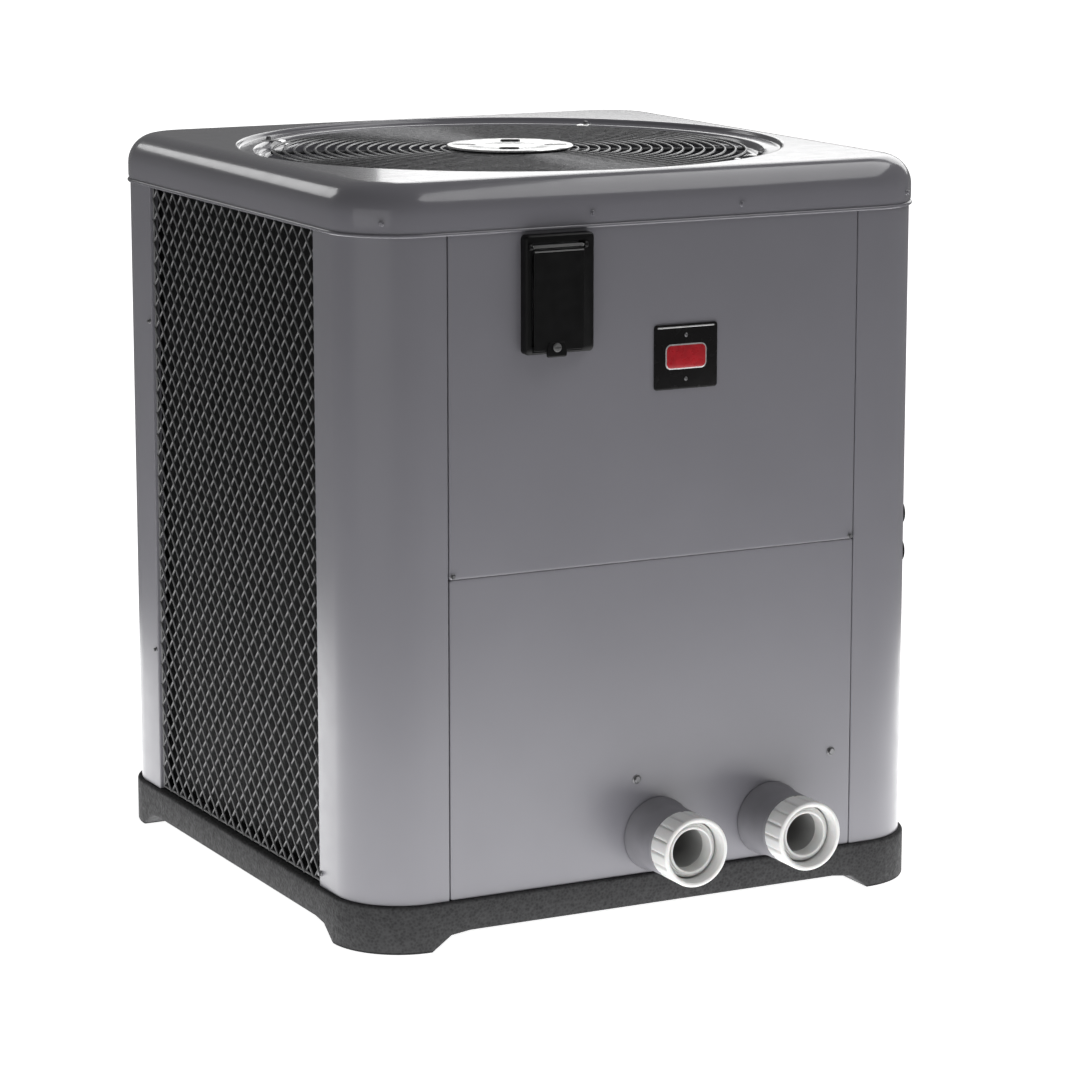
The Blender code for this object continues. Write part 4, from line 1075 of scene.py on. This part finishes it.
def make_badge():
    """A black plate with a plain red enamel tile and two small studs."""
    middle = ((BADGE_LOW[0] + BADGE_HIGH[0]) / 2, (BADGE_LOW[2] + BADGE_HIGH[2]) / 2)
    half_x, half_z = (BADGE_HIGH[0] - BADGE_LOW[0]) / 2, (BADGE_HIGH[2] - BADGE_LOW[2]) / 2
    front = -BADGE_LOW[1] - WALL

    def tile(name, half_x, half_z, radius, low, high, centre, material, replaced=()):
        rings = []
        for inset, out in ((0, low), (0, high - 0.0005), (0.00015, high - 0.0002), (0.0005, high)):
            outline = rounded_rectangle(half_x - inset, half_z - inset, radius - inset, 10, centre)
            rings.append([(x, -WALL - out, z) for x, z in outline])
        piece(name, skin(rings), material, "cabinet", replaced)

    tile("badge", half_x, half_z, 0.004, 0.0003, front, middle, BADGE_BLACK, ["badge_plate"])
    tile("badge_rim", 0.0285, 0.0155, 0.0075, front - 0.0004, front + 0.0006, middle, PALE)
    tile("badge_tile", 0.0270, 0.0140, 0.0062, front - 0.0002, front + 0.0011, middle, RED)
    under_top = (middle[0], BADGE_HIGH[2] - 0.0038)
    tile("badge_line", 0.0395, 0.0010, 0.0009, front - 0.0004, front + 0.0002, under_top, PALE)
    stud = [(0, 0), (0.0024, 0), (0.0024, 0.0006), (0.0016, 0.0013), (0, 0.0015)]
    for name, height in (("upper", middle[1] + 0.0262), ("lower", middle[1] - 0.0277)):
        place = (middle[0], BADGE_LOW[1], height)
        piece(f"badge_stud_{name}", turned(stud, 24, place, "Y"), SCREW, "cabinet")


# ---------------------------------------------------------------- screws and entries

def screw_at(name, spot, out, size, material, replaced=()):
    """A hexagon-head screw with a round flange, seated on a surface and pointing outward."""
    flange, across, top = size * 1.25, size * 0.92, size * 0.78
    shape = turned([(0, 0.0001), (flange, 0.0001), (flange, 0.0006), (size, 0.0013), (0, 0.0013)], 24)
    head = turned([(0, 0.0010), (across, 0.0010), (across, 0.0034), (top, 0.0040), (0, 0.0040)], 6)
    mesh = bpy.data.meshes.new("head")
    head.to_mesh(mesh)
    head.free()
    shape.from_mesh(mesh)
    bpy.data.meshes.remove(mesh)
    place = Matrix.Translation(spot) @ Vector(out).to_track_quat("Z", "Y").to_matrix().to_4x4()
    bmesh.ops.transform(shape, matrix=place, verts=shape.verts)
    piece(name, shape, material, "cabinet", replaced)


def make_screws():
    ahead = (0, -1, 0)
    for side in ("left", "right"):
        node = f"panel_screw_{side}"
        middle = middle_of(node)
        screw_at(f"lower_screw_{side}", (middle.x, -WALL, middle.z), ahead, 0.0046, SCREW, [node])
    for name, side in (("left", -1), ("right", 1)):
        spot = (side * (SEAM_X - 0.0042), -WALL, LOWER_HIGH[2] + 0.0052)
        screw_at(f"seam_screw_{name}", spot, ahead, 0.0028, SCREW)
    skirt = COVER_LOW[2] + 0.0175
    for k, offset in enumerate((-0.091, 0.115)):
        screw_at(f"skirt_screw_front_{k + 1}", (offset, -COVER_HALF, skirt), ahead, 0.0028, COVER_PAINT)
        screw_at(f"skirt_screw_back_{k + 1}", (-offset, COVER_HALF, skirt), (0, 1, 0), 0.0028, COVER_PAINT)
    inner = COVER_HALF - COVER_RADIUS
    for k, bearing in enumerate((234, 306, 54, 126)):
        way = Vector((math.cos(math.radians(bearing)), math.sin(math.radians(bearing)), 0))
        corner = Vector((math.copysign(inner, way.x), math.copysign(inner, way.y), skirt))
        screw_at(f"skirt_screw_corner_{k + 1}", corner + way * COVER_RADIUS, way, 0.0028, COVER_PAINT)
    edge = MESH_HALF + 0.0055
    for name, x, y, out in (("left", -WALL, -edge, (-1, 0, 0)), ("right", WALL, -edge, (1, 0, 0))):
        screw_at(f"post_foot_screw_{name}", (x, y, BASE_TOP + 0.0165), out, 0.0030, SCREW)
    for level_name, level in (("low", 0.251), ("high", 0.693)):
        for name, x, y, out in (("left", -WALL, edge, (-1, 0, 0)), ("right", WALL, edge, (1, 0, 0)),
                                ("back_left", -edge, WALL, (0, 1, 0)), ("back_right", edge, WALL, (0, 1, 0))):
            screw_at(f"post_screw_{name}_{level_name}", (x, y, level), out, 0.0026, SCREW)


def make_grommets():
    """Two rubber plugs with a shallow cup, pressed into the front right post."""
    inner = WALL - WALL_RADIUS
    profile = [(0, -0.0072), (0.0136, -0.0072), (0.0138, -0.0066), (0.0138, -0.0044), (0.0106, -0.0040),
               (0.0106, 0.0010), (0.0130, 0.0012), (0.0138, 0.0018), (0.0137, 0.0026), (0.0128, 0.0032),
               (0.0090, 0.0032), (0.0078, 0.0024), (0.0070, -0.0020), (0, -0.0024)]
    for name in ("upper", "lower"):
        middle = middle_of(f"entry_grommet_{name}")
        bearing = math.atan2(middle.y + inner, middle.x - inner)
        spot = Vector((inner, -inner, middle.z))
        spot += WALL_RADIUS * Vector((math.cos(bearing), math.sin(bearing), 0))
        shape = turned(profile, 64, axis="X")
        place = Matrix.Translation(spot) @ Matrix.Rotation(bearing, 4, "Z")
        bmesh.ops.transform(shape, matrix=place, verts=shape.verts)
        piece(f"entry_plug_{name}", shape, RUBBER, "cabinet", [f"entry_grommet_{name}"])


# ---------------------------------------------------------------- CAD nodes that stay

KEPT = {
    ENAMEL: ("fan_motor", "compressor", "suction_accumulator"),
    ZINC: ("motor_shaft", "control_box", "transformer", "run_capacitor", "filter_drier"),
    COPPER: ("coil_header", "reversing_valve", "discharge_line", "suction_line", "liquid_line"),
    RUBBER: ("compressor_grommet_a", "compressor_grommet_b", "compressor_grommet_c", "compressor_grommet_d",
             "button_mode", "button_power", "button_up", "button_down"),
    GREY: ("heat_exchanger", "control_panel", "contactor"),
    BLACK: ("water_flow_switch",),
    WINDOW: ("display_lens",),
    BOARD: ("control_board",),
}


def finish_kept_nodes():
    for material, names in KEPT.items():
        for name in names:
            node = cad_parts[name]
            node.data.materials.clear()
            node.data.materials.append(material)
    soften(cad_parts["control_panel"], 0.0005, 2)


# ---------------------------------------------------------------- stage

def stage_surface(name, shape, colour, glow):
    """Turns a bmesh into a glowing white surface of the studio."""
    mesh = bpy.data.meshes.new(name)
    shape.to_mesh(mesh)
    shape.free()
    thing = bpy.data.objects.new(name, mesh)
    bpy.context.scene.collection.objects.link(thing)
    paper = Paint(name, colour, 0.95)
    paper.fix("Specular IOR Level", 0.0)
    paper.fix("Emission Color", (1, 1, 1, 1))
    paper.fix("Emission Strength", glow)
    mesh.materials.append(paper.material)
    return thing


def make_stage():
    """A pale round floor under a white surround."""
    shape = bmesh.new()
    turns = [math.radians(a) for a in range(0, 360, 5)]
    rows = [[shape.verts.new((0, 0, 0))] * len(turns)]
    for radius in (0.4, 0.8, 1.2, 1.6):
        rows.append([shape.verts.new((radius * math.cos(t), radius * math.sin(t), 0)) for t in turns])
    for inner, outer in zip(rows, rows[1:]):
        for i in range(len(turns)):
            j = (i + 1) % len(turns)
            corners = [inner[i], outer[i], outer[j]]
            if inner[i] is not inner[j]:
                corners.append(inner[j])
            shape.faces.new(corners)
    stage_surface("studio_floor", shape, (0.85, 0.85, 0.85), FLOOR_GLOW)


def make_backdrop():
    """A white shell all round, seen by the camera and nothing else."""
    shape = bmesh.new()
    bmesh.ops.create_icosphere(shape, subdivisions=4, radius=8.8)
    shell = stage_surface("studio_backdrop", shape, (1, 1, 1), 1.1)
    shell.visible_diffuse = False
    shell.visible_glossy = False
    shell.visible_transmission = False
    shell.visible_shadow = False


def area_light(name, spot, target, size, radiance, shape="RECTANGLE"):
    """A soft light that the camera doesn't see, given by the brightness of its face."""
    data = bpy.data.lights.new(name, "AREA")
    data.shape = shape
    data.size, data.size_y = size
    data.energy = radiance * math.pi * size[0] * size[1] * (math.pi / 4 if shape == "ELLIPSE" else 1)
    lamp = bpy.data.objects.new(name, data)
    bpy.context.scene.collection.objects.link(lamp)
    lamp.location = spot
    lamp.rotation_euler = (Vector(target) - Vector(spot)).to_track_quat("-Z", "Y").to_euler()
    lamp.visible_camera = False
    return lamp


def make_lights():
    """Light comes mostly up from the floor, with panels behind, high on the right and on the left."""
    scene = bpy.context.scene
    world = bpy.data.worlds.new("studio")
    world.use_nodes = True
    world.node_tree.nodes["Background"].inputs["Color"].default_value = (1, 1, 1, 1)
    world.node_tree.nodes["Background"].inputs["Strength"].default_value = AMBIENT
    scene.world = world
    area_light("floor_bounce", (0, 0, 0.003), (0, 0, 1), (2.9, 2.9), FLOOR_BOUNCE, "ELLIPSE")
    area_light("back_strip", (3.445, 3.355, 2.66), (1.195, 0.265, 2.66), (3.82, 2.6), BACK_STRIP)
    area_light("right_high_softbox", (1.66, -0.88, 3.22), (-0.2, -0.38, 0.92), (3.6, 1.6), RIGHT_HIGH)
    area_light("left_back_panel", (-1.27, 3.59, 2.49), (-0.39, -0.2, 0.92), (1.2, 0.9), LEFT_BACK)
    area_light("left_fill", (-4.1, -2.2, 1.1), (0, 0, 0.7), (5.0, 2.6), LEFT_FILL)
    scene.view_settings.view_transform = "Standard"


def make_camera():
    data = bpy.data.cameras.new("camera")
    data.sensor_width = 36
    data.lens = CAMERA_LENS
    camera = bpy.data.objects.new("camera", data)
    bpy.context.scene.collection.objects.link(camera)
    camera.location = CAMERA_SPOT
    camera.rotation_euler = (math.radians(90 + CAMERA_PITCH), 0, math.radians(-CAMERA_YAW))
    data.clip_end = 60
    bpy.context.scene.camera = camera


make_camera()
make_stage()
make_backdrop()
make_lights()
make_base()
make_posts()
make_panels()
make_cover()
make_guards()
make_coil()
make_fan_guard()
make_motor_plate()
make_fan()
make_shroud()
make_union("inlet")
make_union("outlet")
make_control()
make_flap()
make_latch()
make_badge()
make_screws()
make_grommets()
finish_kept_nodes()
